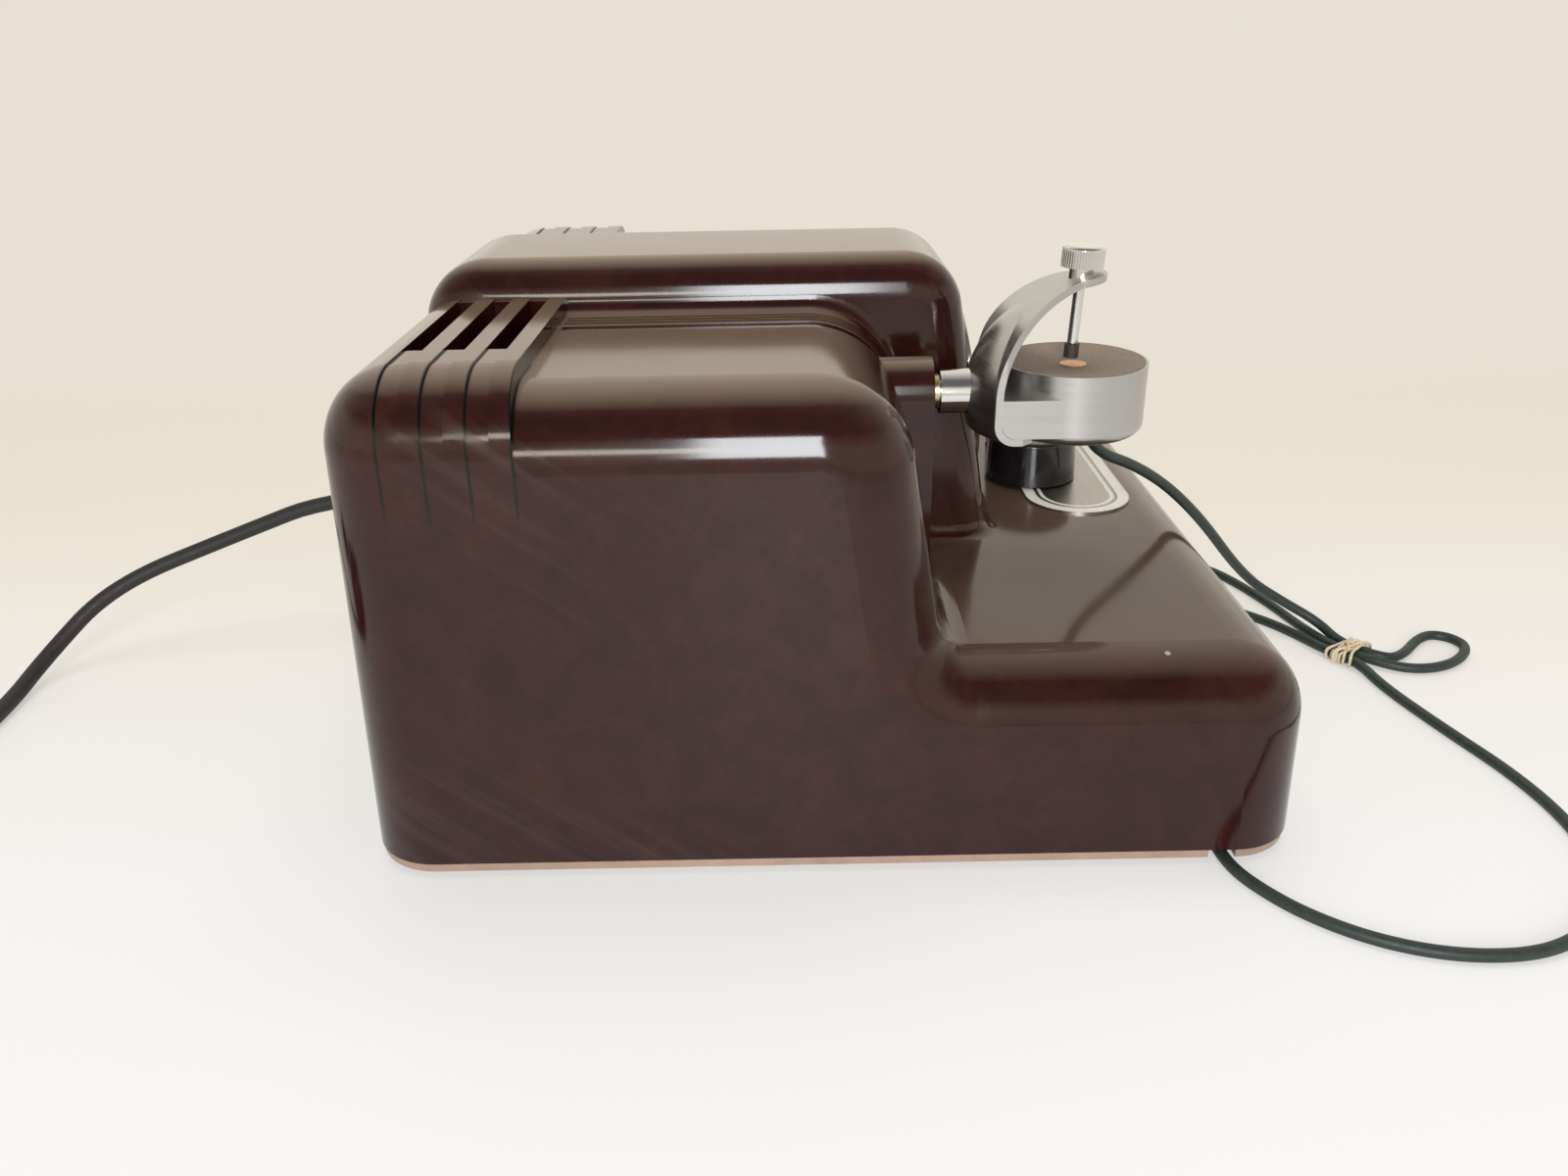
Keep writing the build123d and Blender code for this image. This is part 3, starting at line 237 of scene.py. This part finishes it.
def bakelite():
    material, shader = finish("bakelite_finish", ior=1.43)
    mottle = math(material, "MULTIPLY", noise(material, 55.0, 6.0, 0.62, distortion=0.8), 0.75)
    fine = math(material, "MULTIPLY", noise(material, 260.0, 4.0, 0.6), 0.25)
    both = math(material, "ADD", mottle, fine)
    body = ramp(material, both, (0.34, BODY_DARK), (0.50, BODY_MIDDLE), (0.66, BODY_LIGHT))
    facing = node(material, "ShaderNodeNewGeometry").outputs["Normal"]
    facing = node(material, "ShaderNodeSeparateXYZ", {"Vector": facing}).outputs
    side = span(material, math(material, "ABSOLUTE", facing["X"]), 0.0, 1.0, 0.55, 0.95)
    # Upward faces get dust and a painted sheen, more of both on the higher tops
    dust_and_sheen = span(material, facing["Z"], 0.0, 1.0, 0.75, 1.0)
    height = node(material, "ShaderNodeSeparateXYZ", {"Vector": place(material)}).outputs["Z"]
    dust_and_sheen = math(material, "MULTIPLY", dust_and_sheen, span(material, height, *DUST_AND_SHEEN_AMOUNT, *DUST_AND_SHEEN_HEIGHT))
    streak_place = stretched(material, (1.0, 5.0, 210.0), (STREAK_SLOPE, 0, 0))
    streaks = span(material, noise(material, 1.0, 4.0, 0.65, streak_place), 0.0, 1.0, 0.46, 0.78)
    patch_place = stretched(material, (1.0, 5.5, 16.0), (PATCH_SLOPE, 0, 0))
    patches = span(material, noise(material, 1.0, 2.0, 0.5, patch_place, 0.4), 0.0, 1.0, 0.48, 0.72)
    haze = math(material, "MULTIPLY", math(material, "MULTIPLY", streaks, patches), side)
    cells = node(material, "ShaderNodeTexVoronoi", {"Vector": place(material), "Scale": SPECK_CELLS})
    speck = math(material, "LESS_THAN", cells.outputs["Distance"], SPECK_SIZE)
    chance = node(material, "ShaderNodeSeparateColor", {"Color": cells.outputs["Color"]}).outputs["Red"]
    speck = math(material, "MULTIPLY", speck, math(material, "LESS_THAN", chance, SPECK_SHARE))
    colour = mixed(material, math(material, "MULTIPLY", haze, HAZE_AMOUNT), body, HAZE_COLOUR)
    # Dust and painted sheen laid over the upward faces
    colour = mixed(material, dust_and_sheen, colour, DUST_AND_SHEEN_COLOUR)
    colour = mixed(material, math(material, "MULTIPLY", speck, SPECK_AMOUNT), colour, SPECK_COLOUR)
    # Painted shade that darkens the louvres' steps into near-black lines
    colour = mixed(material, louvre_shade_lines(material), colour, LOUVRE_SHADE_COLOUR)
    wire(material, colour, shader.inputs["Base Color"])
    rough = span(material, noise(material, 20.0, 3.0, 0.6), *POLISH, 0.3, 0.7)
    rough = math(material, "ADD", rough, math(material, "MULTIPLY", haze, HAZE_ROUGHNESS))
    wire(material, rough, shader.inputs["Roughness"])
    bump(material, shader, noise(material, 30.0, 2.0), 0.02, RIPPLE_HEIGHT)
    return material


# Satin metal with fine darker lines along one direction
LINE_SHADE = 0.86


def brushed(name, colour, lines, rough, depth=0.06):
    material, shader = finish(name, metallic=1.0)
    grain = noise(material, 1.0, 4.0, 0.7, stretched(material, lines))
    dark = tuple(c * LINE_SHADE for c in colour)
    wire(material, mixed(material, grain, dark, colour), shader.inputs["Base Color"])
    wear = math(material, "MULTIPLY", noise(material, 60.0, 4.0, 0.6), 0.4)
    both = math(material, "ADD", math(material, "MULTIPLY", grain, 0.6), wear)
    wire(material, span(material, both, *rough, 0.35, 0.65), shader.inputs["Roughness"])
    bump(material, shader, grain, depth, LINE_HEIGHT)
    return material


# Clear glass with faint dust
def clear(name, colour):
    material, shader = finish(name, base_color=(*colour, 1), transmission_weight=1.0, ior=1.5)
    dust = noise(material, 120.0, 4.0, 0.6)
    wire(material, span(material, dust, 0.02, 0.10, 0.4, 0.75), shader.inputs["Roughness"])
    return material


# Plain finishes by the record's slots: dark and light colour, grain, roughness, depth and stretch
GRAINED = {
    "base_sheet": ((0.33, 0.225, 0.17), (0.42, 0.30, 0.23), 90.0, (0.35, 0.5)),
    "foot_rubber": ((0.018,) * 3, (0.035,) * 3, 300.0, (0.7, 0.85), 0.15),
    "lead_rubber": ((0.010, 0.010, 0.010), (0.022, 0.021, 0.020), 500.0, (0.5, 0.7), 0.2),
    "lead_fabric": ((0.011, 0.020, 0.017), (0.024, 0.036, 0.031), 600.0, (0.4, 0.6), 0.2),
    "black_rubber": ((0.012,) * 3, (0.026,) * 3, 400.0, (0.55, 0.75), 0.15),
    "tie_rubber": ((0.58, 0.47, 0.31), (0.72, 0.62, 0.45), 500.0, (0.6, 0.8), 0.3),
    "pad_fibre": ((0.165, 0.130, 0.098), (0.26, 0.210, 0.160), 700.0, (0.65, 0.85), 0.35),
    "tip_rubber": ((0.022, 0.018, 0.016), (0.05, 0.042, 0.036), 500.0, (0.45, 0.65), 0.1),
    "crystal": ((0.55, 0.52, 0.44), (0.70, 0.67, 0.58), 200.0, (0.2, 0.35)),
    "knob_black": ((0.006, 0.006, 0.0065), (0.012, 0.011, 0.011), 200.0, (0.10, 0.2), 0.01),
    "disc_enamel": ((0.014,) * 3, (0.024,) * 3, 250.0, (0.4, 0.55), 0.03),
    "motor_enamel": ((0.07, 0.07, 0.075), (0.12, 0.12, 0.125), 200.0, (0.35, 0.5)),
    "lamp_holder_black": ((0.014,) * 3, (0.028,) * 3, 300.0, (0.4, 0.55)),
    "core_iron": ((0.07, 0.06, 0.055), (0.13, 0.12, 0.11), 4.0, (0.5, 0.7), 0.3, (8, 300, 8)),
    "winding_paper": ((0.24, 0.15, 0.07), (0.36, 0.24, 0.12), 120.0, (0.5, 0.7)),
}
# Metals: colour, scale of the lines along each axis, roughness and depth
BRUSHED = {
    "screw_steel": ((0.50, 0.50, 0.49), (300.0, 300.0, 300.0), (0.25, 0.42)),
    "bush_brass": ((0.58, 0.47, 0.29), (20.0, 900.0, 20.0), (0.22, 0.4)),
    "bright_chrome": ((0.74, 0.74, 0.74), (40.0, 40.0, 500.0), (0.07, 0.16), 0.02),
    "satin_metal": ((0.53, 0.52, 0.515), (16.0, 16.0, 900.0), (0.25, 0.38)),
    "contact_copper": ((0.62, 0.30, 0.15), (600.0, 600.0, 30.0), (0.25, 0.45)),
    "control_can": ((0.50, 0.50, 0.48), (30.0, 30.0, 600.0), (0.3, 0.45)),
    "bezel_chrome": ((0.72, 0.72, 0.72), (200.0, 200.0, 200.0), (0.08, 0.18), 0.02),
    "zinc_sheet": ((0.55, 0.55, 0.52), (60.0, 700.0, 60.0), (0.3, 0.48)),
    "can_aluminium": ((0.64, 0.64, 0.63), (30.0, 30.0, 700.0), (0.28, 0.42)),
    "pin_brass": ((0.66, 0.52, 0.26), (40.0, 400.0, 400.0), (0.18, 0.3)),
}
CLEAR = {
    "window_clear": (0.95, 0.97, 0.96),
    "lamp_clear": (0.96, 0.95, 0.92),
}
materials = {"bakelite": bakelite()}
for slot, values in GRAINED.items():
    materials[slot] = grained(f"{slot}_finish", *values)
for slot, values in BRUSHED.items():
    materials[slot] = brushed(f"{slot}_finish", *values)
for slot, colour in CLEAR.items():
    materials[slot] = clear(f"{slot}_finish", colour)

# Plate under the knobs: pale rings that follow its outline on satin metal
plate_low, plate_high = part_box("legend_plate")
plate_radius = (plate_high[1] - plate_low[1]) / 2
plate_y = plate_low[1] + plate_radius
PLATE_METAL, PLATE_PAINT, PLATE_DARK = (0.46, 0.445, 0.42), (0.74, 0.71, 0.64), (0.10, 0.095, 0.09)
PLATE_RINGS = (
    (0.0, PLATE_METAL),
    (0.63, PLATE_PAINT),
    (0.70, PLATE_METAL),
    (0.75, PLATE_DARK),
    (0.77, PLATE_PAINT),
    (0.975, PLATE_METAL),
)
PLATE_WEAR = 0.25
PLATE_LINE_HEIGHT = 0.2 * MM


def legend():
    material, shader = finish("legend_finish")
    point = node(material, "ShaderNodeSeparateXYZ", {"Vector": place(material)})
    ends = {"Min": plate_low[0] + plate_radius, "Max": plate_high[0] - plate_radius}
    nearest = node(material, "ShaderNodeClamp", {"Value": point.outputs["X"], **ends}).outputs["Result"]
    across = math(material, "SUBTRACT", point.outputs["X"], nearest)
    along = math(material, "SUBTRACT", point.outputs["Y"], plate_y)
    reach = node(material, "ShaderNodeCombineXYZ", {"X": across, "Y": along}).outputs["Vector"]
    reach = node(material, "ShaderNodeVectorMath", {0: reach}, operation="LENGTH").outputs["Value"]
    reach = math(material, "DIVIDE", reach, plate_radius)
    rings = ramp(material, reach, *PLATE_RINGS, interpolation="CONSTANT")
    shine = [(start, (1, 1, 1) if colour == PLATE_METAL else (0, 0, 0)) for start, colour in PLATE_RINGS]
    shine = ramp(material, reach, *shine, interpolation="CONSTANT")
    grain = noise(material, 1.0, 4.0, 0.7, stretched(material, (30.0, 900.0, 30.0)))
    worn = mixed(material, span(material, grain, 0.0, PLATE_WEAR), rings, PLATE_DARK)
    wire(material, worn, shader.inputs["Base Color"])
    wire(material, shine, shader.inputs["Metallic"])
    wire(material, span(material, grain, 0.24, 0.40, 0.3, 0.7), shader.inputs["Roughness"])
    bump(material, shader, grain, 0.05, PLATE_LINE_HEIGHT)
    return material


# Dial in the window: cream enamel with sixty plain divisions, every fifth one longer
DIAL_X, DIAL_Z = 0.0, 112.0 * MM
DIAL_DIVISIONS = ((60, 0.10, 19.6 * MM), (12, 0.035, 18.2 * MM))
DIAL_OUTER = 22.4 * MM
ENAMEL_DARK, ENAMEL_LIGHT, MARK_COLOUR = (0.66, 0.62, 0.50), (0.76, 0.72, 0.61), (0.02, 0.02, 0.02)


def dial():
    material, shader = finish("dial_enamel_finish")
    point = node(material, "ShaderNodeSeparateXYZ", {"Vector": place(material)})
    across = math(material, "SUBTRACT", point.outputs["X"], DIAL_X)
    upward = math(material, "SUBTRACT", point.outputs["Z"], DIAL_Z)
    reach = node(material, "ShaderNodeCombineXYZ", {"X": across, "Z": upward}).outputs["Vector"]
    reach = node(material, "ShaderNodeVectorMath", {0: reach}, operation="LENGTH").outputs["Value"]
    turns = math(material, "DIVIDE", math(material, "ARCTAN2", upward, across), 2 * pi)
    marks = 0.0
    for count, half_width, inner in DIAL_DIVISIONS:
        step = math(material, "ADD", math(material, "MULTIPLY", turns, count), count + 0.5)
        step = math(material, "SUBTRACT", math(material, "FRACT", step), 0.5)
        mark = math(material, "LESS_THAN", math(material, "ABSOLUTE", step), half_width)
        mark = math(material, "MULTIPLY", mark, math(material, "GREATER_THAN", reach, inner))
        marks = math(material, "MAXIMUM", mark, marks)
    marks = math(material, "MULTIPLY", marks, math(material, "LESS_THAN", reach, DIAL_OUTER))
    grain = noise(material, 150.0, 5.0, 0.6)
    enamel = ramp(material, grain, (0.3, ENAMEL_DARK), (0.7, ENAMEL_LIGHT))
    wire(material, mixed(material, marks, enamel, MARK_COLOUR), shader.inputs["Base Color"])
    wire(material, span(material, grain, 0.3, 0.42, 0.3, 0.7), shader.inputs["Roughness"])
    return material


materials["legend_metal"] = legend()
materials["dial_enamel"] = dial()
for part in frame["record"]["subparts"]:
    obj = nodes[part["node"]]
    obj.data.materials.clear()
    obj.data.materials.append(materials[part["material_slot"]])


# A new piece of the object: its finish, the record's slot and, unless it blends, the case as its body
def piece(obj, slot, ridden=True):
    obj.data.materials.clear()
    obj.data.materials.append(materials[slot])
    if ridden:
        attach(obj, "case")
    return obj


# Smooth line through a cord's route, as a spline that the route's points steer
SPLINE_STEPS = 10
SPLINE_ROUNDNESS = 6


def spline(name, points, diameter=0.0):
    data = bpy.data.curves.new(name, "CURVE")
    data.dimensions = "3D"
    data.resolution_u = SPLINE_STEPS
    line = data.splines.new("NURBS")
    line.points.add(len(points) - 1)
    for control, point in zip(line.points, points):
        control.co = (*point, 1)
    line.order_u = 3
    line.use_endpoint_u = True
    data.bevel_depth = diameter / 2
    data.bevel_resolution = SPLINE_ROUNDNESS
    data.use_fill_caps = True
    return link(bpy.data.objects.new(name, data))


# Points along a spline, in order
def traced(name, points):
    guide = spline(name, points)
    bpy.context.view_layer.update()
    mesh = bpy.data.meshes.new_from_object(guide)
    line = [vertex.co.copy() for vertex in mesh.vertices]
    bpy.data.objects.remove(guide)
    bpy.data.meshes.remove(mesh)
    return line


# Round tube along points, whose rings don't twist
CORD_SIDES, BAND_SIDES = 14, 10


def tube(name, line, radius, sides):
    mesh = bmesh.new()
    heading = (line[1] - line[0]).normalized()
    side = heading.orthogonal().normalized()
    rings = []
    for index, point in enumerate(line):
        before, after = line[max(index - 1, 0)], line[min(index + 1, len(line) - 1)]
        new_heading = (after - before).normalized()
        side = heading.rotation_difference(new_heading) @ side
        heading = new_heading
        other = heading.cross(side)
        angles = [2 * pi * k / sides for k in range(sides)]
        rings.append([mesh.verts.new(point + (side * cos(a) + other * sin(a)) * radius) for a in angles])
    for ring, following in zip(rings, rings[1:]):
        for k in range(sides):
            mesh.faces.new((ring[k], ring[(k + 1) % sides], following[(k + 1) % sides], following[k]))
    mesh.faces.new(rings[0][::-1])
    mesh.faces.new(rings[-1])
    for face in mesh.faces:
        face.smooth = True
    data = bpy.data.meshes.new(name)
    mesh.to_mesh(data)
    mesh.free()
    return link(bpy.data.objects.new(name, data))


# Several meshes as one
def joined(name, objects):
    mesh = bmesh.new()
    for obj in objects:
        mesh.from_mesh(obj.data)
        bpy.data.meshes.remove(obj.data)
    data = bpy.data.meshes.new(name)
    mesh.to_mesh(data)
    mesh.free()
    return link(bpy.data.objects.new(name, data))


# Rubber bands wound round a bundle, each with its own slant, and a knot with two short ends
WRAP_POINTS = 48
WRAP_LAP = 3
WRAP_CORNER = 0.5
KNOT = (
    (-5.2, 2.2, -0.2),
    (-3.6, 1.6, 0.5),
    (-1.2, -0.6, 0.5),
    (0.4, -1.5, 0.6),
    (1.5, -0.2, 0.9),
    (0.4, 1.3, 1.0),
    (-0.9, 0.2, 1.0),
    (0.6, -0.9, 1.0),
    (2.8, -0.4, 0.5),
    (4.8, 1.4, -0.2),
)


def wound(name, middle, across, heading, half_width, half_height, turns, thickness):
    up = Vector((0, 0, 1))
    bands = []
    for number, (along, slant, lift) in enumerate(turns):
        line = []
        for k in range(WRAP_POINTS + WRAP_LAP):
            angle = 2 * pi * k / WRAP_POINTS
            flat, tall = cos(angle), sin(angle)
            out = (half_width + lift) * (1 if flat > 0 else -1) * abs(flat) ** WRAP_CORNER
            high = (half_height + lift / 2) * (1 if tall > 0 else -1) * abs(tall) ** WRAP_CORNER
            point = across * out + up * (high + lift / 2) + heading * (along + slant * flat)
            line.append((middle + point) * MM)
        bands.append(tube(f"{name}_{number}", line, thickness / 2 * MM, BAND_SIDES))
    top = middle + up * (half_height + thickness)
    knot = [top + across * x + heading * y + up * z for x, y, z in KNOT]
    knot_line = traced(f"{name}_guide", metres(*knot))
    bands.append(tube(f"{name}_knot", knot_line, thickness / 2 * MM, BAND_SIDES))
    return joined(name, bands)


# Mains lead: out of the back, down to the table and into its tied coil
MAINS_DIAMETER = 6.0
COIL_X, COIL_Y = -112.0, 346.0
COIL_INNER = 22.0
COIL_GAP = 0.7
COIL_HALF_TURNS = 7
COIL_RUN_IN = 32.0
COIL_TAIL = 46.0
COIL_Z = 4.2
HALF_TURN_POINTS = 10
coil_step = (MAINS_DIAMETER + COIL_GAP) / 2
coil_layer = MAINS_DIAMETER + COIL_GAP
radii_out = [COIL_INNER + coil_step * k for k in range(COIL_HALF_TURNS)]
coil_radii = radii_out[::-1] + [COIL_INNER - coil_step] + radii_out
coil_swell = 1 / cos(pi / HALF_TURN_POINTS / 2)
turn_y = COIL_Y - radii_out[-1]
mains_points = [
    (30.0, 130.16, 60.0),
    (30.0, 192.0, 60.0),
    (24.5, 238.0, 44.0),
    (9.0, 284.0, 29.5),
    (-13.0, 304.0, 9.0),
    (-40.0, 305.0, 3.1),
    (COIL_X + COIL_RUN_IN, turn_y, COIL_Z),
]
for index, radius in enumerate(coil_radii):
    way = 1 if index % 2 == 0 else -1
    middle_y = turn_y + way * radius
    for k in range(HALF_TURN_POINTS):
        angle = pi * (k + 0.5) / HALF_TURN_POINTS
        share = min(max(index - COIL_HALF_TURNS + k / HALF_TURN_POINTS, 0.0), 1.0)
        level = COIL_Z + coil_layer * share
        reach = radius * coil_swell
        mains_points.append((COIL_X - way * reach * sin(angle), middle_y - way * reach * cos(angle), level))
    turn_y += 2 * way * radius
mains_points.append((COIL_X + COIL_TAIL / 2, turn_y, COIL_Z + coil_layer))
mains_points.append((COIL_X + COIL_TAIL, turn_y, COIL_Z + coil_layer))
mains_cord = spline("mains_cord", metres(*mains_points), MAINS_DIAMETER * MM)
piece(mains_cord, "lead_rubber")
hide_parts("mains_lead", "mains_coil")

# Bands round one side of the coil: each turn's place along it, slant and lift
COIL_BAND = 1.1
COIL_WRAPS = ((-2.6, 1.0, 0.0), (-0.7, -1.2, 0.3), (1.1, 1.1, 0.0), (2.7, -0.8, 0.3))
coil_near = COIL_INNER - coil_step - MAINS_DIAMETER / 2
coil_far = radii_out[-1] + MAINS_DIAMETER / 2
coil_tie_middle = Vector((COIL_X - (coil_near + coil_far) / 2, COIL_Y, COIL_Z + coil_layer / 2))
coil_bands = wound(
    "coil_bands",
    coil_tie_middle,
    Vector((1, 0, 0)),
    Vector((0, 1, 0)),
    (coil_far - coil_near + COIL_BAND) / 2,
    (coil_layer + MAINS_DIAMETER + COIL_BAND) / 2,
    COIL_WRAPS,
    COIL_BAND,
)
piece(coil_bands, "tie_rubber")
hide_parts("coil_tie")

# Microphone lead: from the boot over the ledge, through the tie and back to the base
LEAD_DIAMETER = 3.8
LEAD_X, LEAD_Y = -45.5, -87.8
LEAD_Z = 2.0
TIE_PITCH = 5.0
TIE_HALF = 7.0
tie_middle = Vector((-17.0, -206.5, 3.1))
tie_heading = Vector((-0.8, -0.6, 0))
tie_across = Vector((0.6, -0.8, 0))


# Point on one of the three strands that lie side by side in the tie
def strand(number, along):
    return tie_middle + tie_across * (number * TIE_PITCH) + tie_heading * along


small_loop = (
    (-21.8, -224.4),
    (-1.0, -243.0),
    (-3.7, -253.1),
    (-13.8, -255.8),
    (-27.2, -242.4),
    (-30.5, -225.0),
)
large_loop = (
    (6.0, -198.0),
    (30.0, -193.0),
    (52.0, -186.0),
    (68.0, -178.0),
    (72.0, -165.0),
    (62.0, -156.5),
    (46.0, -158.0),
    (29.0, -170.0),
    (14.0, -185.0),
    (2.0, -192.5),
)
way_back = (
    (-42.0, -208.5),
    (-71.0, -215.6),
    (-103.0, -225.0),
    (-131.0, -227.0),
    (-156.0, -221.0),
    (-174.0, -207.0),
    (-184.5, -188.0),
    (-185.5, -166.0),
    (-179.5, -146.0),
    (-168.0, -130.0),
    (-154.0, -119.5),
)
lead_points = [
    (LEAD_X, LEAD_Y, 110.0),
    (LEAD_X, LEAD_Y, 98.5),
    (-28.0, -115.0, 84.5),
    (-15.0, -139.5, 63.0),
    (6.0, -170.0, 26.0),
    (7.0, -188.0, 14.0),
    (3.5, -202.0, 6.5),
    strand(1, -TIE_HALF),
    strand(1, TIE_HALF),
    *[(x, y, LEAD_Z) for x, y in small_loop],
    strand(0, TIE_HALF),
    strand(0, -TIE_HALF),
    *[(x, y, LEAD_Z) for x, y in large_loop],
    strand(-1, -TIE_HALF),
    strand(-1, TIE_HALF),
    *[(x, y, LEAD_Z) for x, y in way_back],
    (-143.5, -115.0, 2.6),
    (-135.0, -115.0, 2.6),
]
lead_line = traced("lead_guide", metres(*lead_points))
microphone_cord = tube("microphone_cord", lead_line, LEAD_DIAMETER / 2 * MM, CORD_SIDES)
piece(microphone_cord, "lead_fabric", ridden=False)
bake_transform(microphone_cord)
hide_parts("microphone_lead", "table_lead")

# Bands round the three strands in the tie
LEAD_BAND = 1.18
LEAD_WRAPS = (
    (-3.4, 1.6, 0.0),
    (-2.1, -1.4, 0.4),
    (-0.8, 1.9, 0.0),
    (0.6, -1.8, 0.5),
    (1.9, 1.5, 0.0),
    (3.1, -2.0, 0.5),
    (1.2, 2.8, 1.0),
)
lead_bands = wound(
    "lead_bands",
    tie_middle,
    tie_across,
    tie_heading,
    TIE_PITCH + (LEAD_DIAMETER + LEAD_BAND) / 2,
    (LEAD_DIAMETER + LEAD_BAND) / 2,
    LEAD_WRAPS,
    LEAD_BAND,
)
piece(lead_bands, "tie_rubber")
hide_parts("lead_tie")

# Floor, white near the object, that fades into the backdrop past it and all round
FLOOR_HALF = 9.0
BACKDROP = (0.80, 0.745, 0.655)
FLOOR_NEAR, FLOOR_FAR = (0.80, 0.79, 0.77), BACKDROP
WHITE_NEAR, WHITE_FAR = (0.97, 0.965, 0.955), (0.86, 0.795, 0.695)
TINT_START, TINT_END = -0.14, 0.16
FLOOR_LIFT = 0.5
FADE_START, FADE_END = 0.16, 0.45
RIM_START, RIM_END = 0.55, 1.0


def floor_finish():
    material, shader = finish("floor_finish", roughness=0.42, ior=1.3)
    floor_place = place(material)
    across = node(material, "ShaderNodeSeparateXYZ", {"Vector": floor_place}).outputs["X"]
    reach = node(material, "ShaderNodeVectorMath", {0: floor_place}, operation="LENGTH").outputs["Value"]
    fade = span(material, across, 0.0, 1.0, FADE_START, FADE_END)
    fade = math(material, "MAXIMUM", fade, span(material, reach, 0.0, 1.0, RIM_START, RIM_END))
    tint = span(material, across, 0.0, 1.0, TINT_START, TINT_END)
    wire(material, mixed(material, tint, FLOOR_NEAR, FLOOR_FAR), shader.inputs["Base Color"])
    rays = node(material, "ShaderNodeLightPath").outputs
    seen = math(material, "MAXIMUM", rays["Is Camera Ray"], rays["Is Glossy Ray"])
    seen = math(material, "MAXIMUM", seen, rays["Is Transmission Ray"])
    seen = math(material, "MULTIPLY", seen, FLOOR_LIFT)
    white = mixed(material, tint, WHITE_NEAR, WHITE_FAR)
    white = node(material, "ShaderNodeEmission", {"Color": white}).outputs[0]
    glow = node(material, "ShaderNodeEmission", {"Color": (*BACKDROP, 1)}).outputs[0]
    near = node(material, "ShaderNodeMixShader", {0: seen, 1: shader.outputs[0], 2: white}).outputs[0]
    surface = node(material, "ShaderNodeMixShader", {0: fade, 1: near, 2: glow}).outputs[0]
    wire(material, surface, material.node_tree.nodes["Material Output"].inputs["Surface"])
    return material


floor_mesh = bpy.data.meshes.new("floor")
corners = [(x * FLOOR_HALF, y * FLOOR_HALF, 0) for x, y in ((-1, -1), (1, -1), (1, 1), (-1, 1))]
floor_mesh.from_pydata(corners, [], [(0, 1, 2, 3)])
floor = link(bpy.data.objects.new("floor", floor_mesh))
floor.data.materials.append(floor_finish())

# Pale backdrop all round, rising to a pale wall past the object and a dim ceiling on the other side
DIM_ROOM = (0.14, 0.132, 0.128)
WALL_START, WALL_END = -0.35, 0.55
PALE_UP_TO, DIM_FROM = 0.35, 0.6
ROOM_IN_GLOSS = 1.25
world = bpy.data.worlds.new("studio")
scene.world = world
world.use_nodes = True
sky = world.node_tree.nodes["Background"]
sky_place = node(world, "ShaderNodeTexCoord").outputs["Generated"]
sky_point = node(world, "ShaderNodeSeparateXYZ", {"Vector": sky_place}).outputs
wall = span(world, sky_point["X"], 0.0, 1.0, WALL_START, WALL_END)
pale = math(world, "MAXIMUM", wall, span(world, sky_point["Z"], 1.0, 0.0, PALE_UP_TO, DIM_FROM))
wire(world, mixed(world, pale, DIM_ROOM, BACKDROP), sky.inputs["Color"])
glossy = node(world, "ShaderNodeLightPath").outputs["Is Glossy Ray"]
wire(world, span(world, glossy, 1.0, ROOM_IN_GLOSS), sky.inputs["Strength"])

# Lamps: a cool window and a warm one beside it in front of the object, and a soft light from above
COOL, WARM, NEUTRAL = (0.93, 0.96, 1.0), (1.0, 0.93, 0.82), (0.97, 0.98, 1.0)
WINDOW_AIM = (-0.05, 0, 0.1)


def lamp(name, position, target, size, power, colour):
    data = bpy.data.lights.new(name, "AREA")
    data.shape = "RECTANGLE"
    data.size, data.size_y = size
    data.energy = power
    data.color = colour
    obj = link(bpy.data.objects.new(name, data))
    obj.location = position
    obj.rotation_mode = "QUATERNION"
    obj.rotation_quaternion = (Vector(target) - Vector(position)).to_track_quat("-Z", "Y")
    return obj


lamp("key", (-1.25, 0.0, 0.56), WINDOW_AIM, (0.24, 0.62), 11.0, COOL)
lamp("beside_key", (-1.25, 0.26, 0.50), WINDOW_AIM, (0.30, 0.14), 1.6, WARM)
overhead = lamp("overhead", (0.1, 0.0, 1.5), (0, 0, 0), (0.9, 0.9), 9.0, NEUTRAL)
overhead.visible_glossy = False
